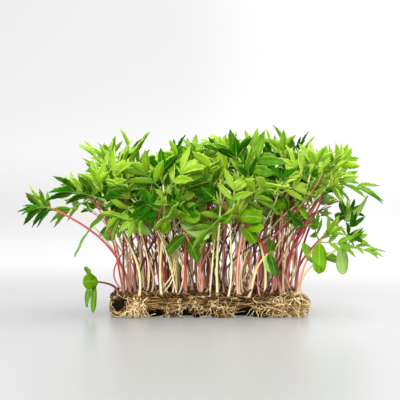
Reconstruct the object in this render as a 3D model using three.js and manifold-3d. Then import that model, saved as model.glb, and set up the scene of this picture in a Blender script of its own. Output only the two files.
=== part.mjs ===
// A block of marigold microgreens as it is lifted out of its growing tray: seedlings with
// slender stems, oval seed leaves and pinnate leaves, standing in a flat pad of coir and peat
// that their own roots bind together.
//
// Millimetres, +Z up. X runs along the long side of the pad and +Y points to its back. The
// origin is the middle of the pad's underside, where it lies on a table or in a tray.
import * as THREE from "three";
import { mergeVertices } from "three/addons/utils/BufferGeometryUtils.js";
import Module from "manifold-3d";

const wasm = await Module();
wasm.setup();

// Driving dimensions
const PAD = { halfLength: 56.5, halfDepth: 37, top: 12, sides: 40, levels: 3, squareness: 5 };
const HOLE = { radius: 1.65, depth: 8, sides: 5 };
const STEM = { footRadius: 0.9, tipRadius: 0.62, sunk: 7, upright: 0.36, collar: 1.3, sway: 5 };
const BLADE = { thickness: 0.7, stalkHalfWidth: 0.5, start: 1.7 };
const SEED_LEAF = { length: 15.5, halfWidth: 3.0 };
const FIRST_LEAF = { length: 29, leafletPairs: 2 };
const SECOND_LEAF = { length: 20, leafletPairs: 1 };
const ROOT = { radius: 0.55, gap: 1.1, strands: 18, sides: 3 };
const HUSK = { length: 9, radius: 0.75, sides: 5 };
const CLEAR = { leaf: 3.1, stem: 2.9, ground: 3.5, husk: 0.4 };

// Seedlings that give the block its outline: foot x and y, tip x, y and z, turn of the leaves
// in degrees, vigour, and how many pairs of true leaves stand above the seed leaves.
const OUTLINE_SEEDLINGS = [
  [-46, -16, -97, -12, 64, 95, 0.85, 2],
  [-40, -32, -61, -38, 72, 0, 1.15, 2],
  [-38, 4, -77, 8, 71, 20, 0.9, 2],
  [-50, 12, -60, 15, 89, 25, 1.05, 2],
  [-41, -9, -45, -6, 92, 65, 1.05, 2],
  [-43, -21, -51, -24, 82, 35, 1.0, 2],
  [-27, -31, -26, -35, 77, 10, 1.1, 2],
  [-4, -32, -18, -40, 62, 80, 0.95, 2],
  [33, -30, 17, -34, 85, 350, 1.25, 2],
  [43, -33, 8, -42, 65, 20, 1.0, 2],
  [45, -21, 60, -27, 83, 20, 1.05, 2],
  [44, -5, 52, 3, 90, 60, 1.1, 2],
  [54, -6, 76, -6, 82, 5, 1.1, 2],
  [33, 7, 41, 11, 92, 85, 1.0, 2],
  [55, 8, 84, 2, 58, 15, 0.8, 1],
  [52, -30, 66, -39, 46, 20, 0.8, 2],
  [55, -17, 83, -25, 43, 340, 0.75, 2],
  [-53, -25, -68, -33, 21, 60, 1.0, 0],
  [24, -33, 35, -40, 37, 30, 1.0, 0],
  [50, 24, 66, 34, 68, 45, 0.9, 1],
  [-49, 27, -66, 36, 60, 130, 0.9, 1],
];
// The rest stand in a loose grid, taller and shorter ones mixed.
const GRID = { columns: 8, rows: 5, pitchX: 13.4, pitchY: 14.2, jitter: 3, footGap: 6.2 };
const SEEDLINGS = 46;
const SEED = 2027;

const COLOUR = {
  leafy: 0x5aa516,
  young: 0x8bb840,
  pad: 0x5a3d20,
  root: 0xd9bd87,
  husk: 0x1c1612,
};

const UP = new THREE.Vector3(0, 0, 1);
const BACK = new THREE.Vector3(0, 1, 0);
const radians = THREE.MathUtils.degToRad;

// A repeatable random generator: next(low, high) gives the same run for the same seed.
function dice(seed) {
  let state = seed;
  return (low, high) => {
    state = (state * 48271) % 2147483647;
    return low + (high - low) * (state / 2147483647);
  };
}

// Solids

// A closed skin of triangles that is put together point by point. A blade's rim points lie in
// its middle surface and both faces share them; a raised point has a copy above and one below.
class Skin {
  constructor() {
    this.points = [];
    this.triangles = [];
  }

  point(place) {
    this.points.push(place);
    return this.points.length - 1;
  }

  rim(place) {
    const index = this.point(place);
    return [index, index];
  }

  raised(place, normal) {
    const half = BLADE.thickness / 2;
    const above = this.point(place.clone().addScaledVector(normal, half));
    const below = this.point(place.clone().addScaledVector(normal, -half));
    return [above, below];
  }

  // A flat face with its corners in anticlockwise order as seen from outside.
  face(...corners) {
    for (let k = 2; k < corners.length; k += 1) {
      this.triangles.push([corners[0], corners[k - 1], corners[k]]);
    }
  }

  // One triangle on each face of a blade; side is 1 left of the rib and -1 right of it.
  bladeFace(side, a, b, c) {
    const [p, q, r] = side > 0 ? [a, b, c] : [a, c, b];
    this.face(p[0], q[0], r[0]);
    this.face(p[1], r[1], q[1]);
  }

  // A sleeve from four corners to the four points of a stalk that starts between them.
  sleeve(corners, stalk) {
    corners.forEach((corner, k) => {
      const next = corners[(k + 1) % 4];
      this.face(corner, next, stalk[k]);
      this.face(next, stalk[(k + 1) % 4], stalk[k]);
    });
  }

  geometry() {
    const geometry = new THREE.BufferGeometry().setFromPoints(this.points);
    geometry.setIndex(this.triangles.flat());
    return geometry;
  }
}

function solidOf(geometry) {
  const bare = new THREE.BufferGeometry();
  bare.setAttribute("position", geometry.getAttribute("position"));
  bare.setIndex(geometry.index);
  const merged = mergeVertices(bare, 1e-4);
  return new wasm.Manifold(
    new wasm.Mesh({
      numProp: 3,
      vertProperties: merged.attributes.position.array,
      triVerts: new Uint32Array(merged.index.array),
    }),
  );
}

function geometryOf(solid) {
  const mesh = solid.getMesh();
  const geometry = new THREE.BufferGeometry();
  geometry.setAttribute("position", new THREE.BufferAttribute(mesh.vertProperties, 3));
  geometry.setIndex(new THREE.BufferAttribute(mesh.triVerts, 1));
  return geometry;
}

// Leaves

// A leaf's rib is a parabola that starts along a direction and sags under its own weight.
function ribPoint(leaf, share) {
  return leaf.root
    .clone()
    .addScaledVector(leaf.along, leaf.length * share)
    .addScaledVector(UP, -leaf.length * leaf.droop * share * share);
}

function ribFrame(leaf, share) {
  const along = leaf.along
    .clone()
    .addScaledVector(UP, -2 * leaf.droop * share)
    .normalize();
  const normal = along.clone().cross(leaf.side).normalize();
  return { point: ribPoint(leaf, share), along, side: leaf.side, normal };
}

function besideRib(leaf, share, out) {
  const { point, side } = ribFrame(leaf, share);
  return point.addScaledVector(side, out);
}

const LEAFLET = { widest: 0.5, halfWidth: 0.075, lift: 0.12, sag: 0.12 };
const TERMINAL = { widest: 0.5, halfWidth: 0.105 };

// Where the leaflets of each pair leave the rib, how far they reach and how much they splay.
function leafletsOf(leaf) {
  const rows = {
    0: [],
    1: [{ share: 0.42, reach: 0.36, splay: 50, spread: 0.13 }],
    2: [
      { share: 0.31, reach: 0.36, splay: 56, spread: 0.13 },
      { share: 0.57, reach: 0.34, splay: 46, spread: 0.13 },
    ],
  };
  return rows[leaf.leafletPairs];
}

function leafletFrame(leaf, leaflet, side) {
  const rib = ribFrame(leaf, leaflet.share);
  const splay = radians(leaflet.splay);
  const along = rib.along
    .clone()
    .multiplyScalar(Math.cos(splay))
    .addScaledVector(rib.side, side * Math.sin(splay))
    .addScaledVector(rib.normal, LEAFLET.lift)
    .normalize();
  const forward = along.clone().cross(rib.normal).multiplyScalar(side).normalize();
  const reach = leaf.length * leaflet.reach;
  const at = (share, out) =>
    rib.point
      .clone()
      .addScaledVector(along, reach * share)
      .addScaledVector(forward, out)
      .addScaledVector(UP, -LEAFLET.sag * reach * share * share);
  return { normal: rib.normal, at };
}

function terminalShares(leaf) {
  const last = leafletsOf(leaf).at(-1);
  const start = last.share + last.spread;
  return { start, widest: start + (1 - start) * TERMINAL.widest };
}

// The start of a leaf's stalk as a ring of points: under, left of, above and right of the rib.
function stalkStart(skin, leaf) {
  const share = BLADE.start / leaf.length;
  const base = ribFrame(leaf, share);
  const middle = skin.raised(base.point, base.normal);
  const [left, right] = [1, -1].map((side) =>
    skin.rim(besideRib(leaf, share, side * BLADE.stalkHalfWidth)),
  );
  return { middle, edges: [left, right], ring: [middle[1], left[0], middle[0], right[0]] };
}

// A pinnate leaf as one thin arched blade, its outline cut to the rib between leaflets.
function pinnateBlade(skin, leaf) {
  const stalk = stalkStart(skin, leaf);
  const leaflets = leafletsOf(leaf);
  const ribs = leaflets.map(({ share }) => {
    const rib = ribFrame(leaf, share);
    return skin.raised(rib.point, rib.normal);
  });
  const terminal = terminalShares(leaf);
  const wide = ribFrame(leaf, terminal.widest);
  const middle = skin.raised(wide.point, wide.normal);
  const tip = skin.rim(ribPoint(leaf, 1));
  [1, -1].forEach((side, n) => {
    const notchAt = (share) => skin.rim(besideRib(leaf, share, side * BLADE.stalkHalfWidth));
    let notch = notchAt(leaflets[0].share - leaflets[0].spread);
    skin.bladeFace(side, stalk.middle, ribs[0], notch);
    skin.bladeFace(side, stalk.middle, notch, stalk.edges[n]);
    leaflets.forEach((leaflet, k) => {
      const { normal, at } = leafletFrame(leaf, leaflet, side);
      const out = leaf.length * LEAFLET.halfWidth;
      const centre = skin.raised(at(LEAFLET.widest, 0), normal);
      const front = skin.rim(at(LEAFLET.widest, out));
      const back = skin.rim(at(LEAFLET.widest, -out));
      const point = skin.rim(at(1, 0));
      const next = notchAt(leaflet.share + leaflet.spread);
      const ring = [ribs[k], next, front, point, back, notch];
      ring.forEach((corner, m) => {
        skin.bladeFace(side, centre, corner, ring[(m + 1) % ring.length]);
      });
      skin.bladeFace(side, ribs[k], k + 1 < ribs.length ? ribs[k + 1] : middle, next);
      notch = next;
    });
    const widest = skin.rim(
      besideRib(leaf, terminal.widest, side * leaf.length * TERMINAL.halfWidth),
    );
    skin.bladeFace(side, middle, tip, widest);
    skin.bladeFace(side, middle, widest, notch);
  });
  return stalk.ring;
}

const SEED_LEAF_STATIONS = [
  [0.42, 0.95],
  [0.8, 0.85],
];

// A seed leaf: a plain long oval on a short stalk.
function ovalBlade(skin, leaf) {
  const stalk = stalkStart(skin, leaf);
  const rings = SEED_LEAF_STATIONS.map(([share, width]) => {
    const base = ribFrame(leaf, share);
    const edges = [1, -1].map((side) =>
      skin.rim(besideRib(leaf, share, side * leaf.halfWidth * width)),
    );
    return { middle: skin.raised(base.point, base.normal), edges };
  });
  const tip = skin.rim(ribPoint(leaf, 1));
  [1, -1].forEach((side, n) => {
    let before = stalk;
    for (const ring of rings) {
      skin.bladeFace(side, before.middle, ring.middle, ring.edges[n]);
      skin.bladeFace(side, before.middle, ring.edges[n], before.edges[n]);
      before = ring;
    }
    skin.bladeFace(side, before.middle, tip, before.edges[n]);
  });
  return stalk.ring;
}

const blade = (skin, leaf) => (leaf.leafletPairs ? pinnateBlade : ovalBlade)(skin, leaf);

// Stems

// A stem leaves the pad almost upright, sways a little to one side and bows out to its tip.
function stemCurve(foot, tip, sway) {
  const start = new THREE.Vector3(foot[0], foot[1], PAD.top);
  const end = new THREE.Vector3(...tip);
  const reach = end.distanceTo(start);
  const rise = start.clone().addScaledVector(UP, STEM.upright * reach);
  const heading = end.clone().sub(rise).normalize();
  const arrive = end.clone().addScaledVector(heading, -STEM.upright * reach);
  const aside = new THREE.Vector3(sway[0], sway[1], 0);
  rise.add(aside);
  arrive.sub(aside);
  return new THREE.CubicBezierCurve3(start, rise, arrive, end);
}

// The direction at an angle round a stem, and the sideways direction that goes with it.
function aroundStem(along, turn) {
  const across = along.clone().cross(BACK).normalize();
  const other = along.clone().cross(across);
  const outward = across
    .multiplyScalar(Math.cos(radians(turn)))
    .addScaledVector(other, Math.sin(radians(turn)));
  return { outward, sideways: along.clone().cross(outward).normalize() };
}

// Four points round the stem, set so that each of its four sides faces one leaf of a pair.
function stemRing(skin, seedling, share, sunk = 0) {
  const centre = seedling.curve.getPoint(share).addScaledVector(UP, -sunk);
  const along = seedling.curve.getTangent(share);
  const radius = seedling.girth * THREE.MathUtils.lerp(STEM.footRadius, STEM.tipRadius, share);
  return [0, 1, 2, 3].map((corner) => {
    const { outward } = aroundStem(along, seedling.turn - 45 + 90 * corner);
    return skin.point(centre.clone().addScaledVector(outward, radius));
  });
}

// A seedling as one solid: a stem with leaves growing out of its sides and two out of its tip.
function seedlingGeometry(seedling) {
  const skin = new Skin();
  const collar = STEM.collar / seedling.curve.getLength();
  const levels = seedling.pairs.filter((pair) => pair.height < 1 && pair.leaves.some(Boolean));
  const foot = stemRing(skin, seedling, 0, STEM.sunk);
  skin.face(...foot.toReversed());
  let below = foot;
  const riseTo = (ring, leaves = []) => {
    for (const side of [0, 1, 2, 3]) {
      const after = (side + 1) % 4;
      const corners = [below[side], below[after], ring[after], ring[side]];
      if (leaves[side]) {
        skin.sleeve(corners, blade(skin, leaves[side]));
      } else {
        skin.face(...corners);
      }
    }
    below = ring;
  };
  riseTo(stemRing(skin, seedling, 0));
  riseTo(stemRing(skin, seedling, 0.3));
  for (const { height, side, leaves } of levels) {
    const around = side === 0 ? [leaves[0], null, leaves[1], null] : [null, leaves[0], null, leaves[1]];
    riseTo(stemRing(skin, seedling, height - collar));
    riseTo(stemRing(skin, seedling, height + collar), around);
  }
  const top = stemRing(skin, seedling, 1);
  const tipPair = seedling.pairs.at(-1).leaves;
  const middles = [0, 2].map((k) =>
    skin.point(skin.points[top[k]].clone().lerp(skin.points[top[k + 1]], 0.5)),
  );
  [1, 3].forEach((side) => {
    skin.face(below[side], below[(side + 1) % 4], top[(side + 1) % 4], top[side]);
  });
  [0, 2].forEach((side, k) => {
    skin.face(middles[k], top[side], below[side], below[side + 1], top[side + 1]);
  });
  [
    [top[1], top[2], middles[1], middles[0]],
    [top[3], top[0], middles[0], middles[1]],
  ].forEach((corners, k) => {
    if (tipPair[k]) {
      skin.sleeve(corners, blade(skin, tipPair[k]));
    } else {
      skin.face(...corners);
    }
  });
  return skin.geometry();
}

// Layout

function stemPoints(curve) {
  const spacing = 2.5;
  const count = Math.ceil(curve.getLength() / spacing);
  return Array.from({ length: count + 1 }, (_, k) => curve.getPoint(k / count));
}

function nearest(points, others) {
  let least = Infinity;
  for (const p of points) {
    for (const q of others) {
      least = Math.min(least, p.distanceToSquared(q));
    }
  }
  return Math.sqrt(least);
}

const TIP_SHIFTS = [0, 5, -5, 9, -9, 13, -13];

// Feet and tips: the outline seedlings first, then grid places that are free, each tip moved
// sideways until its stem is clear of the stems before it.
function plantSeedlings() {
  const planted = [];
  const next = dice(SEED);
  const add = (foot, tip, turn, vigour, trueLeafPairs) => {
    const sway = [next(-1, 1) * STEM.sway, next(-1, 1) * STEM.sway];
    const curve = stemCurve(foot, tip, sway);
    const points = stemPoints(curve);
    if (planted.some((other) => nearest(points, other.points) < CLEAR.stem)) {
      return false;
    }
    planted.push({ foot, turn, vigour, trueLeafPairs, curve, points });
    return true;
  };
  for (const [footX, footY, tipX, tipY, tipZ, ...habit] of OUTLINE_SEEDLINGS) {
    add([footX, footY], [tipX, tipY, tipZ], ...habit);
  }
  for (let row = 0; row < GRID.rows; row += 1) {
    for (let column = 0; column < GRID.columns; column += 1) {
      const stagger = row % 2 === 0 ? -0.25 : 0.25;
      const middle = (GRID.columns - 1) / 2;
      const footX = GRID.pitchX * (column - middle + stagger) + next(-1, 1) * GRID.jitter;
      const footY = GRID.pitchY * (row - (GRID.rows - 1) / 2) + next(-1, 1) * GRID.jitter;
      const spreadX = next(1.05, 1.28);
      const spreadY = next(1.05, 1.35);
      const young = next(0, 1) < 0.3;
      const height = young ? next(46, 68) : next(72, 93);
      const turn = next(0, 180);
      const vigour = young ? next(0.75, 0.95) : next(0.9, 1.12);
      const crowded = planted.some(
        ({ foot }) => Math.hypot(foot[0] - footX, foot[1] - footY) < GRID.footGap,
      );
      if (crowded || planted.length >= SEEDLINGS) {
        continue;
      }
      TIP_SHIFTS.some((shift) => {
        const tip = [footX * spreadX + shift, footY * spreadY - shift / 2, height];
        return add([footX, footY], tip, turn, vigour, young ? 1 : 2);
      });
    }
  }
  return planted;
}

// The pairs of leaves that a seedling grows if it has the room, from the lowest up. A pair
// stands crosswise to the one below it, and the top pair on sides 1 and 3 of the stem.
function wishedPairs(seedling, next) {
  const { vigour, trueLeafPairs } = seedling;
  const seedLeaves = {
    rank: 2,
    roll: next(-25, 25),
    height: [1, next(0.78, 0.86), next(0.58, 0.76)][trueLeafPairs],
    side: trueLeafPairs === 1 ? 0 : 1,
    open: [next(60, 85), next(62, 92), next(62, 100)][trueLeafPairs],
    length: SEED_LEAF.length * next(0.85, 1.1),
    halfWidth: SEED_LEAF.halfWidth * next(0.85, 1.1),
    droop: next(0.05, 0.35),
    leafletPairs: 0,
  };
  const first = {
    rank: 0,
    roll: next(-28, 28),
    height: 0.93,
    side: 0,
    open: next(40, 68),
    length: FIRST_LEAF.length * vigour * next(0.92, 1.1),
    droop: next(0.1, 0.42),
    leafletPairs: FIRST_LEAF.leafletPairs,
  };
  const second = {
    rank: 1,
    roll: next(-15, 15),
    height: 1,
    side: 1,
    open: trueLeafPairs === 1 ? next(34, 50) : next(20, 32),
    length: SECOND_LEAF.length * vigour * next(0.92, 1.12),
    droop: next(0, 0.12),
    leafletPairs: SECOND_LEAF.leafletPairs,
  };
  return [[seedLeaves], [seedLeaves, second], [seedLeaves, first, second]][trueLeafPairs];
}

const TURNS = [0, 10, -10, 20, -20, 30, -30, 38, -38];
const OPENINGS = [0, -12, 12, -24];
const LENGTHS = [1, 0.88, 0.77, 0.67, 0.58, 0.5];
const LEAST_TRUE_LEAF = 0.55;

function makeLeaf(seedling, wish, turn, openBy, lengthBy) {
  const root = seedling.curve.getPoint(wish.height);
  const stem = seedling.curve.getTangent(wish.height);
  const { outward, sideways } = aroundStem(stem, turn);
  const open = radians(wish.open + openBy);
  const along = stem
    .clone()
    .multiplyScalar(Math.cos(open))
    .addScaledVector(outward, Math.sin(open))
    .normalize();
  return {
    ...wish,
    root,
    along,
    side: sideways.applyAxisAngle(along, radians(wish.roll)),
    length: wish.length * lengthBy,
    halfWidth: wish.halfWidth * lengthBy,
  };
}

// Points over a leaf that stand for it when room is looked for.
function leafPoints(leaf) {
  const spacing = 3;
  const points = [];
  const count = Math.ceil(leaf.length / spacing);
  for (let k = 1; k <= count; k += 1) {
    points.push(ribPoint(leaf, k / count));
  }
  for (const side of [1, -1]) {
    for (const leaflet of leafletsOf(leaf)) {
      const { at } = leafletFrame(leaf, leaflet, side);
      const out = leaf.length * LEAFLET.halfWidth;
      points.push(at(0.35, 0), at(0.7, 0), at(1, 0));
      points.push(at(LEAFLET.widest, out), at(LEAFLET.widest, -out));
    }
    if (leaf.leafletPairs) {
      const out = leaf.length * TERMINAL.halfWidth;
      points.push(besideRib(leaf, terminalShares(leaf).widest, side * out));
    } else {
      points.push(besideRib(leaf, 0.42, side * leaf.halfWidth));
      points.push(besideRib(leaf, 0.8, side * leaf.halfWidth));
    }
  }
  return points;
}

function aboveGround(point) {
  const overPad =
    Math.abs(point.x) < PAD.halfLength + 6 && Math.abs(point.y) < PAD.halfDepth + 6;
  return point.z > (overPad ? PAD.top + CLEAR.ground : CLEAR.ground);
}

// An obstacle: points with a distance to keep, behind a quick test of their box.
function obstacle(owner, points, distance) {
  const box = new THREE.Box3().setFromPoints(points).expandByScalar(distance);
  const limit = distance * distance;
  const clear = (others) =>
    others.every(
      (q) => !box.containsPoint(q) || points.every((p) => p.distanceToSquared(q) >= limit),
    );
  return { owner, clear };
}

// The first way of turning, opening and shortening a leaf that keeps it clear of its
// neighbours' stems and of the leaves already there.
function firstClear(seedling, wish, direction, obstacles) {
  const least = wish.leafletPairs ? LEAST_TRUE_LEAF : 0;
  for (const lengthBy of LENGTHS.filter((length) => length > least)) {
    for (const openBy of OPENINGS) {
      for (const turnBy of TURNS) {
        const turn = direction + turnBy;
        const leaf = makeLeaf(seedling, wish, turn, openBy, lengthBy);
        const points = leafPoints(leaf);
        const others = obstacles.filter(({ owner }) => owner !== seedling);
        if (points.every(aboveGround) && others.every((other) => other.clear(points))) {
          return { leaf, points };
        }
      }
    }
  }
  return null;
}

function growLeaves(seedlings) {
  const obstacles = seedlings.map((seedling) =>
    obstacle(seedling, seedling.points, CLEAR.stem),
  );
  seedlings.forEach((seedling, n) => {
    const next = dice(SEED + 101 * (n + 1));
    seedling.girth = next(0.85, 1.15);
    seedling.pairs = wishedPairs(seedling, next).map((wish) => ({ ...wish, leaves: [] }));
  });
  for (const rank of [0, 1, 2]) {
    for (const seedling of seedlings) {
      for (const pair of seedling.pairs.filter((each) => each.rank === rank)) {
        const { leaves, ...wish } = pair;
        for (const half of [0, 180]) {
          const direction = seedling.turn + 90 * pair.side + half;
          const found = firstClear(seedling, wish, direction, obstacles);
          leaves.push(found ? found.leaf : null);
          if (found) {
            obstacles.push(obstacle(seedling, found.points, CLEAR.leaf));
          }
        }
      }
    }
  }
}

// The pad and its roots

// Half-width of the pad's outline in a direction: a rounded oblong with a wavy rim.
function padEdge(angle, z) {
  const across = Math.abs(Math.cos(angle) / PAD.halfLength) ** PAD.squareness;
  const along = Math.abs(Math.sin(angle) / PAD.halfDepth) ** PAD.squareness;
  const wave = 0.7 * Math.sin(7 * angle + 0.4 * z) + 0.45 * Math.sin(13 * angle + 1.3);
  const bulge = 1.5 * Math.sin((Math.PI * THREE.MathUtils.clamp(z, 0, PAD.top)) / PAD.top);
  return (across + along) ** (-1 / PAD.squareness) + wave + bulge;
}

function fibrePad(seedlings) {
  const slab = new THREE.CylinderGeometry(1, 1, PAD.top, PAD.sides, PAD.levels);
  slab.rotateX(Math.PI / 2).translate(0, 0, PAD.top / 2);
  const positions = slab.getAttribute("position");
  for (let n = 0; n < positions.count; n += 1) {
    const [x, y, z] = [positions.getX(n), positions.getY(n), positions.getZ(n)];
    const size = padEdge(Math.atan2(y, x), z);
    positions.setXYZ(n, x * size, y * size, z);
  }
  let pad = solidOf(slab);
  const plug = new THREE.CylinderGeometry(HOLE.radius, HOLE.radius, 2 * HOLE.depth, HOLE.sides);
  plug.rotateX(Math.PI / 2);
  for (const { foot } of seedlings) {
    pad = pad.subtract(solidOf(plug.clone().translate(...foot, PAD.top)));
  }
  return pad;
}

function onPadSide(angle, z, out) {
  const reach = padEdge(angle, z) + ROOT.gap + ROOT.radius + out;
  return new THREE.Vector3(reach * Math.cos(angle), reach * Math.sin(angle), z);
}

// A root that runs right round the pad.
function rootBelt(z) {
  const ring = new THREE.TorusGeometry(1, ROOT.radius, ROOT.sides, PAD.sides);
  const positions = ring.getAttribute("position");
  for (let n = 0; n < positions.count; n += 1) {
    const [x, y] = [positions.getX(n), positions.getY(n)];
    const angle = Math.atan2(y, x);
    const level = z + 0.7 * Math.sin(5 * angle + z);
    const place = onPadSide(angle, level, Math.hypot(x, y) - 1);
    positions.setXYZ(n, place.x, place.y, place.z + positions.getZ(n));
  }
  return solidOf(ring);
}

// A root that crosses the belts at a slant.
function rootStrand(start, slant, high, low) {
  const spots = [0, 0.35, 0.7, 1].map((share) =>
    onPadSide(
      start + slant * share,
      THREE.MathUtils.lerp(high, low, share),
      0.35 * Math.sin(9 * share + start),
    ),
  );
  const section = new THREE.Shape(
    Array.from({ length: ROOT.sides }, (_, k) => {
      const angle = (2 * Math.PI * k) / ROOT.sides;
      return new THREE.Vector2(Math.cos(angle), Math.sin(angle)).multiplyScalar(ROOT.radius);
    }),
  );
  return solidOf(
    new THREE.ExtrudeGeometry(section, {
      steps: 3,
      extrudePath: new THREE.CatmullRomCurve3(spots),
      bevelEnabled: false,
    }),
  );
}

function rootWeb() {
  const next = dice(SEED + 7);
  let web = rootBelt(2.6).add(rootBelt(8.6));
  for (let k = 0; k < ROOT.strands; k += 1) {
    const start = (2 * Math.PI * (k + next(-0.3, 0.3))) / ROOT.strands;
    const slant = next(0.05, 0.16) * (k % 2 === 0 ? 1 : -1);
    web = web.add(rootStrand(start, slant, next(9.8, 11.2), next(0.9, 1.6)));
  }
  return web;
}

// Spent seed coats that lie on the pad: x, y and heading in degrees.
const HUSKS = [
  [-20, -16, 30],
  [3, -21, 140],
  [29, -29, 100],
  [47, -12, 15],
  [-53, 3, 80],
  [20, 24, 160],
];

function seedHusk() {
  const profile = [
    [0, -0.5],
    [0.7, -0.35],
    [1, 0.1],
    [0.5, 0.4],
    [0, 0.5],
  ].map(([radius, height]) => new THREE.Vector2(radius * HUSK.radius, height * HUSK.length));
  return new THREE.LatheGeometry(profile, HUSK.sides);
}

// Assembly

function named(name, geometry, colour, roughness) {
  const look = new THREE.MeshStandardMaterial({ color: colour, roughness, metalness: 0 });
  const mesh = new THREE.Mesh(geometry, look);
  mesh.name = name;
  return mesh;
}

const block = new THREE.Group();
const seedlings = plantSeedlings();
growLeaves(seedlings);
seedlings.forEach((seedling, n) => {
  const name = "seedling_" + String(n + 1).padStart(2, "0");
  const colour = seedling.trueLeafPairs === 2 ? COLOUR.leafy : COLOUR.young;
  block.add(named(name, seedlingGeometry(seedling), colour, 0.5));
});
block.add(named("fibre_pad", geometryOf(fibrePad(seedlings)), COLOUR.pad, 0.95));
block.add(named("root_web", geometryOf(rootWeb()), COLOUR.root, 0.8));
HUSKS.forEach(([x, y, heading], n) => {
  const husk = named("seed_husk_" + (n + 1), seedHusk(), COLOUR.husk, 0.6);
  husk.position.set(x, y, PAD.top + HUSK.radius + CLEAR.husk);
  husk.rotation.set(0, 0, radians(heading));
  block.add(husk);
});

export default block;
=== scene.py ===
"""A block of marigold microgreens on its root mat, in metres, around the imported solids."""
import math
import random
from types import SimpleNamespace

import bmesh
import bpy
import numpy as np
from mathutils import Matrix, Vector, noise


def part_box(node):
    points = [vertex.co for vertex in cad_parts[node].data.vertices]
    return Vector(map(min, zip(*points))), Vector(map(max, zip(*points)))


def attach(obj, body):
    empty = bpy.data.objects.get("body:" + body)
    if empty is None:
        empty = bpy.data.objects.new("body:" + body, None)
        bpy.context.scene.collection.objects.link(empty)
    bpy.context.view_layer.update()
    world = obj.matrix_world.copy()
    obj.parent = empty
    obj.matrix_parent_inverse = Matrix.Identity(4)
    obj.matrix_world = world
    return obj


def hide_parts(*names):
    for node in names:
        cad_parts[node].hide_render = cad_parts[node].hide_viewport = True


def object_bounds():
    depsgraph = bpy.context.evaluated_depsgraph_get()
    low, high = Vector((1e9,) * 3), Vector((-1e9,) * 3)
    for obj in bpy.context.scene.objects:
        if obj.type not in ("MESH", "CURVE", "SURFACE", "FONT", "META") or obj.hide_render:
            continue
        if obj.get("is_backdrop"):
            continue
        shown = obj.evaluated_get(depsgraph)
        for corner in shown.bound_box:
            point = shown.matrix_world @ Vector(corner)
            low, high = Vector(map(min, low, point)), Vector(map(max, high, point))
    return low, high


bl_info = {
    "name": "Microgreens mat",
    "version": (1, 0, 0),
    "blender": (4, 5, 0),
    "location": "View3D > Sidebar > Microgreens",
    "description": "Builds seedlings, root mat and stage around the packed model",
    "category": "Object",
}

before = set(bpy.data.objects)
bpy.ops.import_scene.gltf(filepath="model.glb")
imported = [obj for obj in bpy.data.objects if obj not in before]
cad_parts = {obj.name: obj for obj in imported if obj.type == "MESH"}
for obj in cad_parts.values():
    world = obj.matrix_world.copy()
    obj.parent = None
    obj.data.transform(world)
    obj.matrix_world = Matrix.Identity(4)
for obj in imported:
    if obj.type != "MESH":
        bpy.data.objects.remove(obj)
SOLID_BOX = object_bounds()

MM = 0.001
BODY = "root"
UP = np.array([0.0, 0.0, 1.0])
BACK = np.array([0.0, 1.0, 0.0])

# The layout of the solids, in millimetres, by the same rule that made them
PAD = SimpleNamespace(half_length=56.5, half_depth=37.0, top=12.0, squareness=5)
STEM = SimpleNamespace(foot_radius=0.9, tip_radius=0.62, upright=0.36, sway=5.0)
SEED_LEAF = SimpleNamespace(length=15.5, half_width=3.0)
FIRST_LEAF_LENGTH = 29.0
SECOND_LEAF_LENGTH = 20.0
CLEAR = SimpleNamespace(leaf=3.1, stem=2.9, ground=3.5)
LEAFLET = SimpleNamespace(half_width=0.075, lift=0.12, sag=0.12)
TERMINAL = SimpleNamespace(widest=0.5, half_width=0.105)
LEAFLET_ROWS = {
    0: [],
    1: [SimpleNamespace(share=0.42, reach=0.36, splay=50, spread=0.13)],
    2: [
        SimpleNamespace(share=0.31, reach=0.36, splay=56, spread=0.13),
        SimpleNamespace(share=0.57, reach=0.34, splay=46, spread=0.13),
    ],
}
# Foot x and y, tip x, y and z, turn, vigour and pairs of true leaves
OUTLINE_SEEDLINGS = [
    (-46, -16, -97, -12, 64, 95, 0.85, 2),
    (-40, -32, -61, -38, 72, 0, 1.15, 2),
    (-38, 4, -77, 8, 71, 20, 0.9, 2),
    (-50, 12, -60, 15, 89, 25, 1.05, 2),
    (-41, -9, -45, -6, 92, 65, 1.05, 2),
    (-43, -21, -51, -24, 82, 35, 1.0, 2),
    (-27, -31, -26, -35, 77, 10, 1.1, 2),
    (-4, -32, -18, -40, 62, 80, 0.95, 2),
    (33, -30, 17, -34, 85, 350, 1.25, 2),
    (43, -33, 8, -42, 65, 20, 1.0, 2),
    (45, -21, 60, -27, 83, 20, 1.05, 2),
    (44, -5, 52, 3, 90, 60, 1.1, 2),
    (54, -6, 76, -6, 82, 5, 1.1, 2),
    (33, 7, 41, 11, 92, 85, 1.0, 2),
    (55, 8, 84, 2, 58, 15, 0.8, 1),
    (52, -30, 66, -39, 46, 20, 0.8, 2),
    (55, -17, 83, -25, 43, 340, 0.75, 2),
    (-53, -25, -68, -33, 21, 60, 1.0, 0),
    (24, -33, 35, -40, 37, 30, 1.0, 0),
    (50, 24, 66, 34, 68, 45, 0.9, 1),
    (-49, 27, -66, 36, 60, 130, 0.9, 1),
]
GRID = SimpleNamespace(columns=8, rows=5, pitch_x=13.4, pitch_y=14.2, jitter=3.0, foot_gap=6.2)
SEEDLINGS = 46
SEED = 2027
TIP_SHIFTS = (0, 5, -5, 9, -9, 13, -13)
TURNS = (0, 10, -10, 20, -20, 30, -30, 38, -38)
OPENINGS = (0, -12, 12, -24)
LENGTHS = (1, 0.88, 0.77, 0.67, 0.58, 0.5)
LEAST_TRUE_LEAF = 0.55


def dice(seed):
    """A repeatable random generator, the same as the one that laid out the solids."""
    state = seed

    def draw(low, high):
        nonlocal state
        state = state * 48271 % 2147483647
        return low + (high - low) * (state / 2147483647)

    return draw


def unit(vector):
    return vector / math.sqrt(float(vector @ vector))


def within(value, limit):
    return min(max(value, -limit), limit)


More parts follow.
